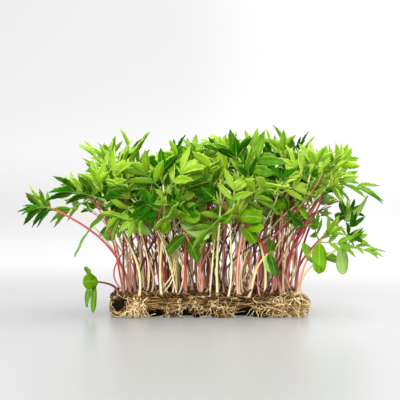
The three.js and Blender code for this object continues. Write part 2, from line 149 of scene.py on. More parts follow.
def on_curve(curve, share):
    rest = 1 - share
    weights = (rest**3, 3 * rest * rest * share, 3 * rest * share * share, share**3)
    return sum(weight * point for weight, point in zip(weights, curve))


def heading(curve, share):
    step = 0.0001
    return unit(on_curve(curve, min(share + step, 1)) - on_curve(curve, max(share - step, 0)))


def curve_length(curve):
    points = np.array([on_curve(curve, k / 200) for k in range(201)])
    return float(np.sqrt(((points[1:] - points[:-1]) ** 2).sum(1)).sum())


def stem_curve(foot, tip, sway):
    start = np.array([foot[0], foot[1], PAD.top], float)
    end = np.array(tip, float)
    reach = math.dist(start, end)
    rise = start + UP * STEM.upright * reach
    arrive = end - unit(end - rise) * STEM.upright * reach
    aside = np.array([sway[0], sway[1], 0.0])
    return [start, rise + aside, arrive - aside, end]


def around_stem(along, turn):
    across = unit(np.cross(along, BACK))
    other = np.cross(along, across)
    outward = across * math.cos(math.radians(turn)) + other * math.sin(math.radians(turn))
    return outward, unit(np.cross(along, outward))


def stem_points(curve):
    count = math.ceil(curve_length(curve) / 2.5)
    return np.array([on_curve(curve, k / count) for k in range(count + 1)])


def gap_squared(points, others):
    return ((points[:, None, :] - others[None, :, :]) ** 2).sum(2).min()


def plant_seedlings():
    """Feet, tips and stems: the outline seedlings, then the free places of a loose grid."""
    planted = []
    draw = dice(SEED)

    def add(foot, tip, turn, vigour, true_leaf_pairs):
        sway = (draw(-1, 1) * STEM.sway, draw(-1, 1) * STEM.sway)
        curve = stem_curve(foot, tip, sway)
        points = stem_points(curve)
        if any(math.sqrt(gap_squared(points, other.points)) < CLEAR.stem for other in planted):
            return False
        planted.append(
            SimpleNamespace(
                foot=foot, turn=turn, vigour=vigour, true_leaf_pairs=true_leaf_pairs,
                curve=curve, points=points,
            )
        )
        return True

    for foot_x, foot_y, tip_x, tip_y, tip_z, turn, vigour, pairs in OUTLINE_SEEDLINGS:
        add((foot_x, foot_y), (tip_x, tip_y, tip_z), turn, vigour, pairs)
    for row in range(GRID.rows):
        for column in range(GRID.columns):
            stagger = -0.25 if row % 2 == 0 else 0.25
            column_place = column - (GRID.columns - 1) / 2 + stagger
            foot_x = GRID.pitch_x * column_place + draw(-1, 1) * GRID.jitter
            foot_y = GRID.pitch_y * (row - (GRID.rows - 1) / 2) + draw(-1, 1) * GRID.jitter
            spread_x = draw(1.05, 1.28)
            spread_y = draw(1.05, 1.35)
            young = draw(0, 1) < 0.3
            height = draw(46, 68) if young else draw(72, 93)
            turn = draw(0, 180)
            vigour = draw(0.75, 0.95) if young else draw(0.9, 1.12)
            crowded = any(
                math.hypot(other.foot[0] - foot_x, other.foot[1] - foot_y) < GRID.foot_gap
                for other in planted
            )
            if crowded or len(planted) >= SEEDLINGS:
                continue
            for shift in TIP_SHIFTS:
                tip = (foot_x * spread_x + shift, foot_y * spread_y - shift / 2, height)
                if add((foot_x, foot_y), tip, turn, vigour, 1 if young else 2):
                    break
    return planted


def wished_pairs(seedling, draw):
    """The pairs of leaves that a seedling grows if it has the room, from the lowest up."""
    pairs = seedling.true_leaf_pairs
    seed_leaves = {"rank": 2, "roll": draw(-25, 25)}
    seed_leaves["height"] = (1, draw(0.78, 0.86), draw(0.58, 0.76))[pairs]
    seed_leaves["side"] = 0 if pairs == 1 else 1
    seed_leaves["open"] = (draw(60, 85), draw(62, 92), draw(62, 100))[pairs]
    seed_leaves["length"] = SEED_LEAF.length * draw(0.85, 1.1)
    seed_leaves["half_width"] = SEED_LEAF.half_width * draw(0.85, 1.1)
    seed_leaves["droop"] = draw(0.05, 0.35)
    seed_leaves["leaflet_pairs"] = 0
    first = {"rank": 0, "roll": draw(-28, 28), "height": 0.93, "side": 0, "open": draw(40, 68)}
    first["length"] = FIRST_LEAF_LENGTH * seedling.vigour * draw(0.92, 1.1)
    first["droop"] = draw(0.1, 0.42)
    first["leaflet_pairs"] = 2
    second = {"rank": 1, "roll": draw(-15, 15), "height": 1, "side": 1}
    second["open"] = draw(34, 50) if pairs == 1 else draw(20, 32)
    second["length"] = SECOND_LEAF_LENGTH * seedling.vigour * draw(0.92, 1.12)
    second["droop"] = draw(0, 0.12)
    second["leaflet_pairs"] = 1
    return ([seed_leaves], [seed_leaves, second], [seed_leaves, first, second])[pairs]


def make_leaf(seedling, wish, turn, open_by, length_by):
    root = on_curve(seedling.curve, wish["height"])
    stem = heading(seedling.curve, wish["height"])
    outward, sideways = around_stem(stem, turn)
    opening = math.radians(wish["open"] + open_by)
    along = unit(stem * math.cos(opening) + outward * math.sin(opening))
    roll = math.radians(wish["roll"])
    side = sideways * math.cos(roll) + np.cross(along, sideways) * math.sin(roll)
    return SimpleNamespace(
        root=root, along=along, side=side, length=wish["length"] * length_by,
        droop=wish["droop"], leaflet_pairs=wish["leaflet_pairs"],
        half_width=wish.get("half_width", 0) * length_by,
    )


def rib_point(leaf, share):
    return leaf.root + leaf.along * leaf.length * share - UP * leaf.length * leaf.droop * share**2


def rib_frame(leaf, share):
    along = unit(leaf.along - UP * 2 * leaf.droop * share)
    normal = unit(np.cross(along, leaf.side))
    return rib_point(leaf, share), along, normal


def leaflet_line(leaf, leaflet, side):
    """Where a leaflet starts, and its along, forward and normal directions."""
    point, rib_along, normal = rib_frame(leaf, leaflet.share)
    splay = math.radians(leaflet.splay)
    along = unit(
        rib_along * math.cos(splay) + leaf.side * side * math.sin(splay) + normal * LEAFLET.lift
    )
    forward = unit(np.cross(along, normal) * side)
    return point, along, forward, normal


def leaf_points(leaf):
    """Points over a leaf that stand for it when room is looked for."""
    count = math.ceil(leaf.length / 3)
    points = [rib_point(leaf, k / count) for k in range(1, count + 1)]
    rows = LEAFLET_ROWS[leaf.leaflet_pairs]
    for side in (1, -1):
        for leaflet in rows:
            start, along, forward, _ = leaflet_line(leaf, leaflet, side)
            reach = leaf.length * leaflet.reach
            out = leaf.length * LEAFLET.half_width
            for share, aside in ((0.35, 0), (0.7, 0), (1, 0), (0.5, out), (0.5, -out)):
                sag = UP * LEAFLET.sag * reach * share * share
                points.append(start + along * reach * share + forward * aside - sag)
        if rows:
            begin = rows[-1].share + rows[-1].spread
            widest = begin + (1 - begin) * TERMINAL.widest
            out = leaf.length * TERMINAL.half_width
            points.append(rib_point(leaf, widest) + leaf.side * side * out)
        else:
            points.append(rib_point(leaf, 0.42) + leaf.side * side * leaf.half_width)
            points.append(rib_point(leaf, 0.8) + leaf.side * side * leaf.half_width)
    return np.array(points)


def above_ground(points):
    over_pad = (np.abs(points[:, 0]) < PAD.half_length + 6) & (
        np.abs(points[:, 1]) < PAD.half_depth + 6
    )
    floor = np.where(over_pad, PAD.top + CLEAR.ground, CLEAR.ground)
    return bool((points[:, 2] > floor).all())


class Obstacles:
    """Points of the stems and leaves so far, each with the distance to keep from it."""

    def __init__(self):
        self.points = np.zeros((0, 3))
        self.owners = np.zeros(0, int)
        self.limits = np.zeros(0)

    def add(self, owner, points, distance):
        self.points = np.vstack([self.points, points])
        self.owners = np.append(self.owners, np.full(len(points), owner))
        self.limits = np.append(self.limits, np.full(len(points), distance * distance))

    def near(self, owner, points, distance):
        """Which of the other seedlings' points lie in a box around some points."""
        low = points.min(0) - distance
        high = points.max(0) + distance
        return (self.owners != owner) & (self.points > low).all(1) & (self.points < high).all(1)

    def clear_of(self, owner, points):
        """Whether points keep each of the others' own distances."""
        near = self.near(owner, points, CLEAR.leaf)
        apart = ((self.points[near][:, None, :] - points[None, :, :]) ** 2).sum(2)
        return bool((apart >= self.limits[near][:, None]).all())

    def keeps(self, owner, points, distance):
        """Whether points keep one distance from everything that another seedling owns."""
        near = self.near(owner, points, distance)
        return not near.any() or bool(gap_squared(points, self.points[near]) >= distance**2)


def first_clear(number, seedling, wish, direction, obstacles):
    least = LEAST_TRUE_LEAF if wish["leaflet_pairs"] else 0
    for length_by in LENGTHS:
        if length_by <= least:
            continue
        for open_by in OPENINGS:
            for turn_by in TURNS:
                leaf = make_leaf(seedling, wish, direction + turn_by, open_by, length_by)
                points = leaf_points(leaf)
                if above_ground(points) and obstacles.clear_of(number, points):
                    return leaf, points
    return None, None


def grow_leaves(seedlings):
    obstacles = Obstacles()
    for number, seedling in enumerate(seedlings):
        obstacles.add(number, seedling.points, CLEAR.stem)
        draw = dice(SEED + 101 * (number + 1))
        seedling.girth = draw(0.85, 1.15)
        seedling.wishes = wished_pairs(seedling, draw)
        seedling.leaves = []
    for rank in (0, 1, 2):
        for number, seedling in enumerate(seedlings):
            for wish in seedling.wishes:
                if wish["rank"] != rank:
                    continue
                for half in (0, 180):
                    direction = seedling.turn + 90 * wish["side"] + half
                    leaf, points = first_clear(number, seedling, wish, direction, obstacles)
                    if leaf:
                        leaf.rank = rank
                        seedling.leaves.append(leaf)
                        obstacles.add(number, points, CLEAR.leaf)
    return obstacles


def node_name(number):
    return f"seedling_{number + 1:02d}"


def infill_name(number):
    return f"infill_{number + 1:02d}"


def check_layout(seedlings, slack=0.8):
    """Stops the script if a seedling of the rule isn't where its solid is."""
    for number, seedling in enumerate(seedlings):
        low, high = (np.array(corner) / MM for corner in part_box(node_name(number)))
        tips = np.array([rib_point(leaf, 1) for leaf in seedling.leaves] + [seedling.curve[3]])
        if (tips < low - slack).any() or (tips > high + slack).any():
            raise RuntimeError(f"{node_name(number)} isn't where the layout puts it")


# Slighter seedlings and leaves that only the picture has, set between the others
INFILL = SimpleNamespace(
    seedlings=72, half_x=80, half_y=48, stem_gap=1.9, leaf_gap=1.6, tries=9000,
    side_from=58, side_floor=68, leaf_floor=49, box_margin=1.5,
    lengths=(1, 0.85, 0.7, 0.58), turns=(0, 25, -25, 50, -50),
)
INFILL_FOOT = SimpleNamespace(
    pull_in=0.64, scatter_x=14, scatter_y=8, half_x=50, half_y=32, round_x=54, round_y=35,
    round_limit=1.18, sway_x=16, sway_y=9,
)
CANOPY = SimpleNamespace(top=104, fall_x=13, fall_y=7, tip_below=6, tip_depth=34)


def canopy_height(x, y):
    """How high the canopy reaches over a place, in millimetres."""
    fall = CANOPY.fall_x * (x / INFILL.half_x) ** 2 + CANOPY.fall_y * (y / INFILL.half_y) ** 2
    return CANOPY.top - fall


def room_for(number, seedling, wish, turn, obstacles):
    """The longest leaf that keeps INFILL.leaf_gap and stays in the box of the solids."""
    low, high = (np.array(corner) / MM for corner in SOLID_BOX)
    low, high = low + INFILL.box_margin, high - INFILL.box_margin
    for length_by in INFILL.lengths:
        for turn_by in INFILL.turns:
            leaf = make_leaf(seedling, wish, turn + turn_by, 0, length_by)
            points = leaf_points(leaf)
            inside = (points > low).all() and (points < high).all()
            beside = np.abs(points[:, 0]) > INFILL.side_from
            inside = inside and (points[beside, 2] > INFILL.side_floor).all()
            inside = inside and points[:, 2].min() > INFILL.leaf_floor
            if inside and above_ground(points) and obstacles.keeps(number, points, INFILL.leaf_gap):
                leaf.rank = 3
                seedling.leaves.append(leaf)
                obstacles.add(number, points, CLEAR.leaf)
                return


def add_pair(number, seedling, wish, turn, obstacles):
    for half in (0, 180):
        room_for(number, seedling, wish, turn + half, obstacles)


def infill_seedlings(obstacles):
    """Stems first, then the upper leaves of all of them, then the low ones where there is room."""
    chance = random.Random(SEED + 77)
    near = INFILL_FOOT
    grown = []
    for _ in range(INFILL.tries):
        if len(grown) >= INFILL.seedlings:
            break
        tip_x = chance.uniform(-1, 1) * INFILL.half_x
        tip_y = chance.uniform(-1, 1) * INFILL.half_y
        if (tip_x / INFILL.half_x) ** 4 + (tip_y / INFILL.half_y) ** 4 > 1:
            continue
        depth = CANOPY.tip_below + CANOPY.tip_depth * chance.random() ** 1.3
        height = canopy_height(tip_x, tip_y) - depth
        foot_x = within(tip_x * near.pull_in + chance.gauss(0, near.scatter_x), near.half_x)
        foot_y = within(tip_y * near.pull_in + chance.gauss(0, near.scatter_y), near.half_y)
        if math.hypot(foot_x / near.round_x, foot_y / near.round_y) > near.round_limit:
            continue
        sway = (chance.uniform(-near.sway_x, near.sway_x), chance.uniform(-near.sway_y, near.sway_y))
        curve = stem_curve((foot_x, foot_y), (tip_x, tip_y, height), sway)
        points = stem_points(curve)
        number = len(LAYOUT) + len(grown)
        if not obstacles.keeps(number, points, INFILL.stem_gap):
            continue
        obstacles.add(number, points, CLEAR.stem)
        seedling = SimpleNamespace(
            turn=chance.uniform(0, 180), vigour=chance.uniform(0.8, 1.05), true_leaf_pairs=2,
            curve=curve, points=points, girth=chance.uniform(0.5, 0.8), leaves=[],
        )
        grown.append(seedling)
    for number, seedling in enumerate(grown, len(LAYOUT)):
        first = {
            "roll": chance.uniform(-35, 35), "height": 0.94, "open": chance.uniform(45, 75),
            "length": 27 * seedling.vigour, "droop": chance.uniform(0.15, 0.5), "leaflet_pairs": 2,
        }
        add_pair(number, seedling, first, seedling.turn, obstacles)
    for number, seedling in enumerate(grown, len(LAYOUT)):
        second = {
            "roll": chance.uniform(-25, 25), "height": 1, "open": chance.uniform(22, 45),
            "length": 19 * seedling.vigour, "droop": chance.uniform(0, 0.2), "leaflet_pairs": 1,
        }
        add_pair(number, seedling, second, seedling.turn + 90, obstacles)
        if chance.random() < 0.6:
            low_leaf = {
                "roll": chance.uniform(-30, 30), "height": chance.uniform(0.62, 0.84),
                "open": chance.uniform(60, 95), "length": chance.uniform(12, 17),
                "half_width": chance.uniform(2.6, 3.6), "droop": chance.uniform(0.05, 0.4),
                "leaflet_pairs": 0,
            }
            add_pair(number, seedling, low_leaf, seedling.turn + 80, obstacles)
    return grown


def infill_leaves(seedlings, obstacles, first_number=0):
    """One more pair of leaves a little lower on each tall seedling, where there is room."""
    chance = random.Random(SEED + 78 + first_number)
    for number, seedling in enumerate(seedlings, first_number):
        if seedling.true_leaf_pairs < 2:
            continue
        wish = {
            "roll": chance.uniform(-40, 40), "height": chance.uniform(0.78, 0.88),
            "open": chance.uniform(45, 80), "length": chance.uniform(19, 27),
            "droop": chance.uniform(0.1, 0.45), "leaflet_pairs": 2,
        }
        add_pair(number, seedling, wish, seedling.turn + chance.uniform(30, 150), obstacles)


# Large seed leaves in front, in mm: root x and z, tip x and z, half width, tone and droop
FRONT_SEED_LEAVES = [
    (-22, 64, -5, 57, 4.2, 0.6, 0.1),
    (-13, 57, 0, 47, 3.8, 1.6, 0.1),
    (17, 60, 31, 58, 3.8, 0.3, 0.15),
    (20, 52, 26, 44, 3.4, 0.2, 0.3),
    (62, 44, 63, 27, 4.0, 0.6, 0.05),
    (79, 40, 78, 26, 3.4, 1.4, 0.1),
    (82, 58, 92, 70, 4.0, 1.5, -0.7),
    (83, 62, 77, 57, 2.4, -0.6, 0.0),
    (82, 60, 80, 68, 2.2, -0.5, 0.1),
    (-36, 62, -47, 52, 3.4, 0.4, 0.2),
    (39, 44, 36, 27, 3.0, 1.5, 0.05),
    (-14, 44, -6, 34, 2.6, -0.2, 0.1),
    (-63, 17, -72, 21, 4.1, 0.5, 0.1),
    (-66, 16, -66, 3.5, 1.6, 0.2, 0.0),
]


FRONT = SimpleNamespace(
    y=-60, depth_weight=0.45, end_from=70, end_weight=0.12, tip_forward=9, facing=(0.25, -1.0, 0.35),
)


def add_front_seed_leaves(seedlings):
    """Hangs each large seed leaf on the foremost stem near its root."""
    for root_x, root_z, tip_x, tip_z, half_width, tone, droop in FRONT_SEED_LEAVES:
        weight = FRONT.depth_weight if abs(root_x) < FRONT.end_from else FRONT.end_weight

        def distance(pair):
            _, point = pair
            behind = (point[1] - FRONT.y) * weight
            return math.hypot(point[0] - root_x, point[2] - root_z) + behind

        choices = [(owner, point) for owner in seedlings for point in owner.points]
        owner, root = min(choices, key=distance)
        tip = np.array([tip_x, root[1] - FRONT.tip_forward, tip_z])
        length = math.dist(tip, root)
        along = unit(tip - root + UP * length * droop)
        front = unit(np.array(FRONT.facing)) * (1 if tone > 1 else -1)
        owner.leaves.append(
            SimpleNamespace(
                root=root, along=along, side=unit(np.cross(along, front)), droop=droop, rank=0,
                length=length, leaflet_pairs=0, half_width=half_width, tone=tone,
            )
        )


# Thin leafless stems that lean across the others and end among the leaves
# A tone of 2 paints a stem near black crimson, a painted shade among the others
SLIM = SimpleNamespace(
    stems=116, gap=1.1, tries=3000, foot_x=52, foot_y=33, tip_x=72, tip_y=42, heights=(60, 84),
    girths=(0.4, 0.66), tones=(0.0, 0.6, 2.0, 0.1, 0.9), spread=1.1, lean=(24, 9), sway=(13, 6),
)


def slim_stems(seedlings):
    chance = random.Random(SEED + 79)
    taken = np.vstack([seedling.points for seedling in seedlings])
    grown = []
    for _ in range(SLIM.tries):
        if len(grown) >= SLIM.stems:
            break
        foot = (chance.uniform(-1, 1) * SLIM.foot_x, chance.uniform(-1, 1) * SLIM.foot_y)
        lean = [chance.gauss(0, amount) for amount in SLIM.lean]
        tip = (foot[0] * SLIM.spread + lean[0], foot[1] + lean[1])
        sway = [chance.gauss(0, amount) for amount in SLIM.sway]
        curve = stem_curve(foot, (*tip, chance.uniform(*SLIM.heights)), sway)
        points = stem_points(curve)
        outside = abs(tip[0]) > SLIM.tip_x or abs(tip[1]) > SLIM.tip_y
        if outside or gap_squared(points, taken) < SLIM.gap**2:
            continue
        taken = np.vstack([taken, points])
        grown.append(SimpleNamespace(curve=curve, girth=chance.uniform(*SLIM.girths), leaves=[]))
    return grown


LAYOUT = plant_seedlings()
OBSTACLES = grow_leaves(LAYOUT)
check_layout(LAYOUT)
INFILL_SEEDLINGS = infill_seedlings(OBSTACLES)
infill_leaves(LAYOUT, OBSTACLES)
infill_leaves(INFILL_SEEDLINGS, OBSTACLES, len(LAYOUT))
add_front_seed_leaves(LAYOUT)
SLIM_STEMS = slim_stems(LAYOUT + INFILL_SEEDLINGS)


# Mesh helpers

def finish_piece(obj, slot, *nodes):
    """Makes a piece ride on the model and hides the solids it stands for."""
    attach(obj, BODY)
    if nodes:
        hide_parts(*nodes)


def object_from(mesh, name, *materials):
    obj = bpy.data.objects.new(name, mesh)
    bpy.context.scene.collection.objects.link(obj)
    for material in materials:
        mesh.materials.append(material)
    for polygon in mesh.polygons:
        polygon.use_smooth = True
    return obj


def object_of(shape, name, *materials):
    """The object made of a bmesh, which is freed."""
    mesh = bpy.data.meshes.new(name)
    shape.to_mesh(mesh)
    shape.free()
    return object_from(mesh, name, *materials)


def tubes(name, routes, sides, materials, picks):
    """Round closed tubes along routes of (point, radius) in millimetres, one material each."""
    curve = bpy.data.curves.new(name, "CURVE")
    curve.dimensions = "3D"
    curve.bevel_depth = 1.0
    curve.bevel_resolution = (sides - 4) // 2
    curve.use_fill_caps = True
    for material in materials:
        curve.materials.append(material)
    for route, pick in zip(routes, picks):
        spline = curve.splines.new("POLY")
        spline.material_index = pick
        spline.points.add(len(route) - 1)
        for point, (place, radius) in zip(spline.points, route):
            point.co = (place[0] * MM, place[1] * MM, place[2] * MM, 1)
            point.radius = radius * MM
    guide = bpy.data.objects.new(name + "_guide", curve)
    bpy.context.scene.collection.objects.link(guide)
    graph = bpy.context.evaluated_depsgraph_get()
    mesh = bpy.data.meshes.new_from_object(guide.evaluated_get(graph))
    bpy.data.objects.remove(guide)
    bpy.data.curves.remove(curve)
    mesh.name = name
    return object_from(mesh, name)


def set_tone(mesh, tone):
    """A number that is the same all over a piece, for its material to read."""
    layer = mesh.attributes.new("tone", "FLOAT", "POINT")
    layer.data.foreach_set("value", [tone] * len(mesh.vertices))


# Leaves

def outline(share, base, tip):
    """A leaf's half-width along it, from 0 to 1: high powers draw the base or the tip out."""
    widest = base / (base + tip)
    if share <= 0 or share >= 1:
        return 0.0
    return (share / widest) ** base * ((1 - share) / (1 - widest)) ** tip


def add_blade(sheet, layer, centre, side_at, normal_at, form, tone):
    """A leaf blade: a grid bent along centre(u), folded at its midrib, with a toothed rim."""
    steps = form.steps
    made = bmesh.ops.create_grid(sheet, x_segments=steps, y_segments=form.rows, size=1)
    for vert in made["verts"]:
        u = (vert.co.x + 1) / 2
        v = vert.co.y
        step = round(u * steps)
        width = form.half_width * max(outline(u, form.base, form.tip), form.stalk)
        toothed = abs(v) > 0.9 and 1 < step < steps - 1
        shift = 0.0
        if toothed and form.teeth:
            width *= 1 + form.teeth if step % 2 else 1 - form.teeth
            shift = 0.5 / steps if step % 2 else 0.0
        if u >= 1:
            width = 0.02
        along = min(u + shift, 1.0)
        lift = form.fold * abs(v) * width
        lift += form.wave * width * v * v * math.sin(2 * math.pi * (1.6 * u + form.phase))
        place = centre(along) + side_at(u) * (v * width) + normal_at(u) * lift
        vert.co = Vector(place) * MM
        vert[layer] = (u, v, tone)


def blade_form(half_width, detail, **changes):
    """A lance-shaped toothed blade, finer where detail is 1 than where it is 0."""
    form = SimpleNamespace(
        half_width=half_width, base=0.72, tip=1.05, teeth=0.1, fold=0.3, wave=0.14, stalk=0.0,
        phase=0.0, steps=12 if detail else 10, rows=4 if detail else 2,
    )
    form.__dict__.update(changes)
    return form


def add_rib_blade(sheet, layer, leaf, begin, form, tone):
    """A blade that lies along the leaf's own rib from a share of it to the tip."""
    def centre(u):
        return rib_point(leaf, begin + (1 - begin) * u)

    def normal_at(u):
        return rib_frame(leaf, begin + (1 - begin) * u)[2]

    add_blade(sheet, layer, centre, lambda u: leaf.side, normal_at, form, tone)


def add_side_leaflet(sheet, layer, leaf, row, side, form, tone):
    start, along, forward, normal = leaflet_line(leaf, row, side)
    reach = leaf.length * row.reach

    def centre(u):
        return start + along * reach * u - UP * LEAFLET.sag * reach * u * u

    across = forward * side
    add_blade(sheet, layer, centre, lambda u: across, lambda u: normal, form, tone)


# The way out of the bunch at a place: these times the place, and this much up
OUT_OF_BUNCH = np.array([1.0, 2.6, 0.0])
OUT_RISE = 12.0


def facing(leaf, share):
    """The leaf rolled by a share of the way that shows its face from outside the bunch."""
    normal = unit(np.cross(leaf.along, leaf.side))
    outward = unit(leaf.root * OUT_OF_BUNCH + UP * OUT_RISE)
    target = unit(outward - leaf.along * float(outward @ leaf.along))
    if float(normal @ target) < 0:
        target = -target
    turned = unit(normal * (1 - share) + target * share)
    rolled = SimpleNamespace(**leaf.__dict__)
    rolled.side = unit(np.cross(turned, leaf.along))
    if float(rolled.side @ leaf.side) < 0:
        rolled.side = -rolled.side
    return rolled


# Leaflets of the picture: the solids' pairs, drawn out longer, and the end leaflet's width
TERMINAL_WIDTHS = {1: 0.096, 2: 0.083}
BLADE_ROWS = {
    1: [SimpleNamespace(share=0.34, reach=0.64, splay=42, width=0.085)],
    2: [
        SimpleNamespace(share=0.26, reach=0.54, splay=52, width=0.068),
        SimpleNamespace(share=0.5, reach=0.58, splay=38, width=0.072),
    ],
}

# Seed leaves are blunt, smooth, nearly flat and thick
SEED_BLADE = {"base": 0.5, "tip": 0.42, "teeth": 0, "fold": 0.1, "wave": 0.1, "stalk": 0.13}
SEED_LEAF_WALL = 1.6

# Shades of green, from older leaves to fresh ones
LEAF_TONES = (-0.4, 0.0, 0.35, 0.7, 1.1)
# Painted light: leaves that stand out to the sides are painted a lighter green for the more light they
# get
SUNLIT = SimpleNamespace(begin=52, blend=22, gain=0.55)


def shown_leaf(leaf):
    """The leaf as the picture has it: a pinnate one turns its face half way outwards."""
    return facing(leaf, 0.5) if leaf.leaflet_pairs else leaf


def add_leaf(sheet, layer, leaf, chance, detail):
    """A seed leaf, or a pinnate leaf with toothed leaflets and its end leaflet."""
    # Painted light: a lighter tone for leaves far out to the sides
    sunlit = min(max((abs(leaf.root[0]) - SUNLIT.begin) / SUNLIT.blend, 0), 1) * SUNLIT.gain
    tone = chance.choice(LEAF_TONES) * (1 - 0.5 * sunlit) + sunlit + chance.uniform(-0.15, 0.15)
    phase = chance.random()
    if not leaf.leaflet_pairs:
        if hasattr(leaf, "tone"):
            tone = leaf.tone
        else:
            leaf = facing(leaf, 0.7)
        form = blade_form(leaf.half_width * 1.1, detail, phase=phase, **SEED_BLADE)
        add_rib_blade(sheet, layer, leaf, 0.05, form, tone * 0.6)
        return
    rows = BLADE_ROWS[leaf.leaflet_pairs]
    for row in rows:
        for side in (1, -1):
            form = blade_form(
                leaf.length * row.width * chance.uniform(0.85, 1.15), detail,
                fold=chance.uniform(0.25, 0.8), phase=chance.random(),
            )
            add_side_leaflet(sheet, layer, leaf, row, side, form, tone + chance.uniform(-0.1, 0.1))
    begin = rows[-1].share + 0.02
    form = blade_form(
        leaf.length * TERMINAL_WIDTHS[leaf.leaflet_pairs], detail,
        fold=chance.uniform(0.25, 0.7), phase=phase,
    )
    add_rib_blade(sheet, layer, leaf, begin, form, tone)


BUDS = {"leafy": SimpleNamespace(leaves=4, size=8.5), "young": SimpleNamespace(leaves=2, size=4)}


def add_bud(sheet, layer, seedling, chance):
    """The small folded leaves still growing at a stem's tip."""
    top = seedling.curve[3]
    along = heading(seedling.curve, 1)
    bud = BUDS["leafy" if seedling.true_leaf_pairs else "young"]
    for number in range(bud.leaves):
        turn = seedling.turn + 45 + 360 * number / bud.leaves + chance.uniform(-20, 20)
        outward, sideways = around_stem(along, turn)
        opening = math.radians(chance.uniform(10, 34))
        leaf = SimpleNamespace(
            root=top, along=unit(along * math.cos(opening) + outward * math.sin(opening)),
            side=sideways, length=bud.size * chance.uniform(0.6, 1.15), droop=-0.05,
        )
        form = blade_form(leaf.length * 0.15, 0, fold=0.6, teeth=0.1)
        add_rib_blade(sheet, layer, leaf, 0.0, form, 1.0)


def leaf_piece(name, number, leaves, bud_of, materials, thickness):
    """Leaves as one sheet given a thickness, with a bud if they are a seedling's true leaves."""
    chance = random.Random(SEED + 31 * number)
    sheet = bmesh.new()
    layer = sheet.verts.layers.float_vector.new("blade")
    for leaf in leaves:
        add_leaf(sheet, layer, shown_leaf(leaf), chance, leaf.rank < 3)
    if bud_of:
        add_bud(sheet, layer, bud_of, chance)
    obj = object_of(sheet, name, *materials)
    wall = obj.modifiers.new("thickness", "SOLIDIFY")
    wall.thickness = thickness
    wall.offset = 0
    wall.material_offset = 1
    wall.use_even_offset = False
    return obj


# Stems

STEM_SHAPE = SimpleNamespace(steps=26, sunk=2, flare=0.35, flare_share=1 / 12, point=(1.2, 0.3))
PINNATE_RIB = SimpleNamespace(reach=0.93, radius=0.55, taper=0.82, below=0.1, steps=9)
SEED_LEAF_RIB = SimpleNamespace(reach=0.3, radius=0.6, taper=0.82, below=0.1, steps=9)
LEAFLET_RIB = SimpleNamespace(reach=0.85, radius=0.26, below=0.08, steps=4)


def shares(steps, reach=1.0):
    return [reach * k / steps for k in range(steps + 1)]


def stem_routes(seedling):
    """A stem from inside the pad to its tip, and a rib out into each of its leaves."""
    curve = seedling.curve
    girth = seedling.girth
    foot, tip = STEM.foot_radius * girth, STEM.tip_radius * girth
    route = [(curve[0] - UP * STEM_SHAPE.sunk, foot)]
    for share in shares(STEM_SHAPE.steps):
        flare = STEM_SHAPE.flare * girth * max(0, 1 - share / STEM_SHAPE.flare_share)
        route.append((on_curve(curve, share), foot * (1 - share) + tip * share + flare))
    length, radius = STEM_SHAPE.point
    route.append((on_curve(curve, 1) + heading(curve, 1) * length, radius))
    routes = [route]
    for leaf in map(shown_leaf, seedling.leaves):
        form = PINNATE_RIB if leaf.leaflet_pairs else SEED_LEAF_RIB
        routes.append([
            (rib_point(leaf, share) - UP * form.below, form.radius * (1 - form.taper * share))
            for share in shares(form.steps, form.reach)
        ])
        form = LEAFLET_RIB
        for row in BLADE_ROWS.get(leaf.leaflet_pairs, []):
            for side in (1, -1):
                start, along, _, _ = leaflet_line(leaf, row, side)
                length = leaf.length * row.reach
                vein = []
                for share in shares(form.steps, form.reach):
                    sag = UP * (LEAFLET.sag * length * share * share + form.below)
                    vein.append((start + along * length * share - sag, form.radius * (1 - share)))
                routes.append(vein)
    return routes


def stem_piece(name, seedling, materials, tone):
    routes = stem_routes(seedling)
    obj = tubes(name, routes, 6, materials, [0] + [1] * (len(routes) - 1))
    set_tone(obj.data, tone)
    return obj


# Materials

def new_material(name):
    material = bpy.data.materials.new(name)
    material.use_nodes = True
    tree = material.node_tree
    shader = tree.nodes["Principled BSDF"]
    return material, tree, shader


def add_node(tree, kind, inputs=None, **settings):
    """A node whose inputs are each linked to a socket or set to a value."""
    node = tree.nodes.new(kind)
    for key, value in settings.items():
        setattr(node, key, value)
    for socket, value in (inputs or {}).items():
        if isinstance(value, bpy.types.NodeSocket):
            tree.links.new(value, node.inputs[socket])
        else:
            node.inputs[socket].default_value = value
    return node


def math_node(tree, operation, first, second=0.0, third=0.0, clamp=False):
    inputs = {0: first, 1: second, 2: third}
    node = add_node(tree, "ShaderNodeMath", inputs, operation=operation, use_clamp=clamp)
    return node.outputs[0]


def mix_colour(tree, factor, first, second):
    inputs = {0: factor, 6: first, 7: second}
    return add_node(tree, "ShaderNodeMix", inputs, data_type="RGBA").outputs[2]


def smooth_range(tree, value, low, high, start=0.0, end=1.0):
    inputs = {0: value, 1: low, 2: high, 3: start, 4: end}
    return add_node(tree, "ShaderNodeMapRange", inputs, interpolation_type="SMOOTHSTEP").outputs[0]


def object_axis(tree, axis):
    """Where a point lies on the object's own x, y or z axis, in metres."""
    place = add_node(tree, "ShaderNodeTexCoord").outputs["Object"]
    return add_node(tree, "ShaderNodeSeparateXYZ", {0: place}).outputs[axis]


def blade_place(tree):
    """How far a point is along and across its leaf blade, and the leaf's tone."""
    place = add_node(tree, "ShaderNodeAttribute", attribute_name="blade").outputs["Vector"]
    return add_node(tree, "ShaderNodeSeparateXYZ", {0: place}).outputs


def object_noise(tree, scale, stretch=(1, 1, 1), detail=3.0, roughness=0.55):
    """Noise on the object's own coordinates, its scale given per metre."""
    place = add_node(tree, "ShaderNodeTexCoord").outputs["Object"]
    mapping = add_node(tree, "ShaderNodeMapping", {"Vector": place, "Scale": stretch})
    inputs = {"Vector": mapping.outputs[0], "Scale": scale, "Detail": detail, "Roughness": roughness}
    return add_node(tree, "ShaderNodeTexNoise", inputs).outputs[0]


def rgba(colour):
    return (*colour, 1.0)


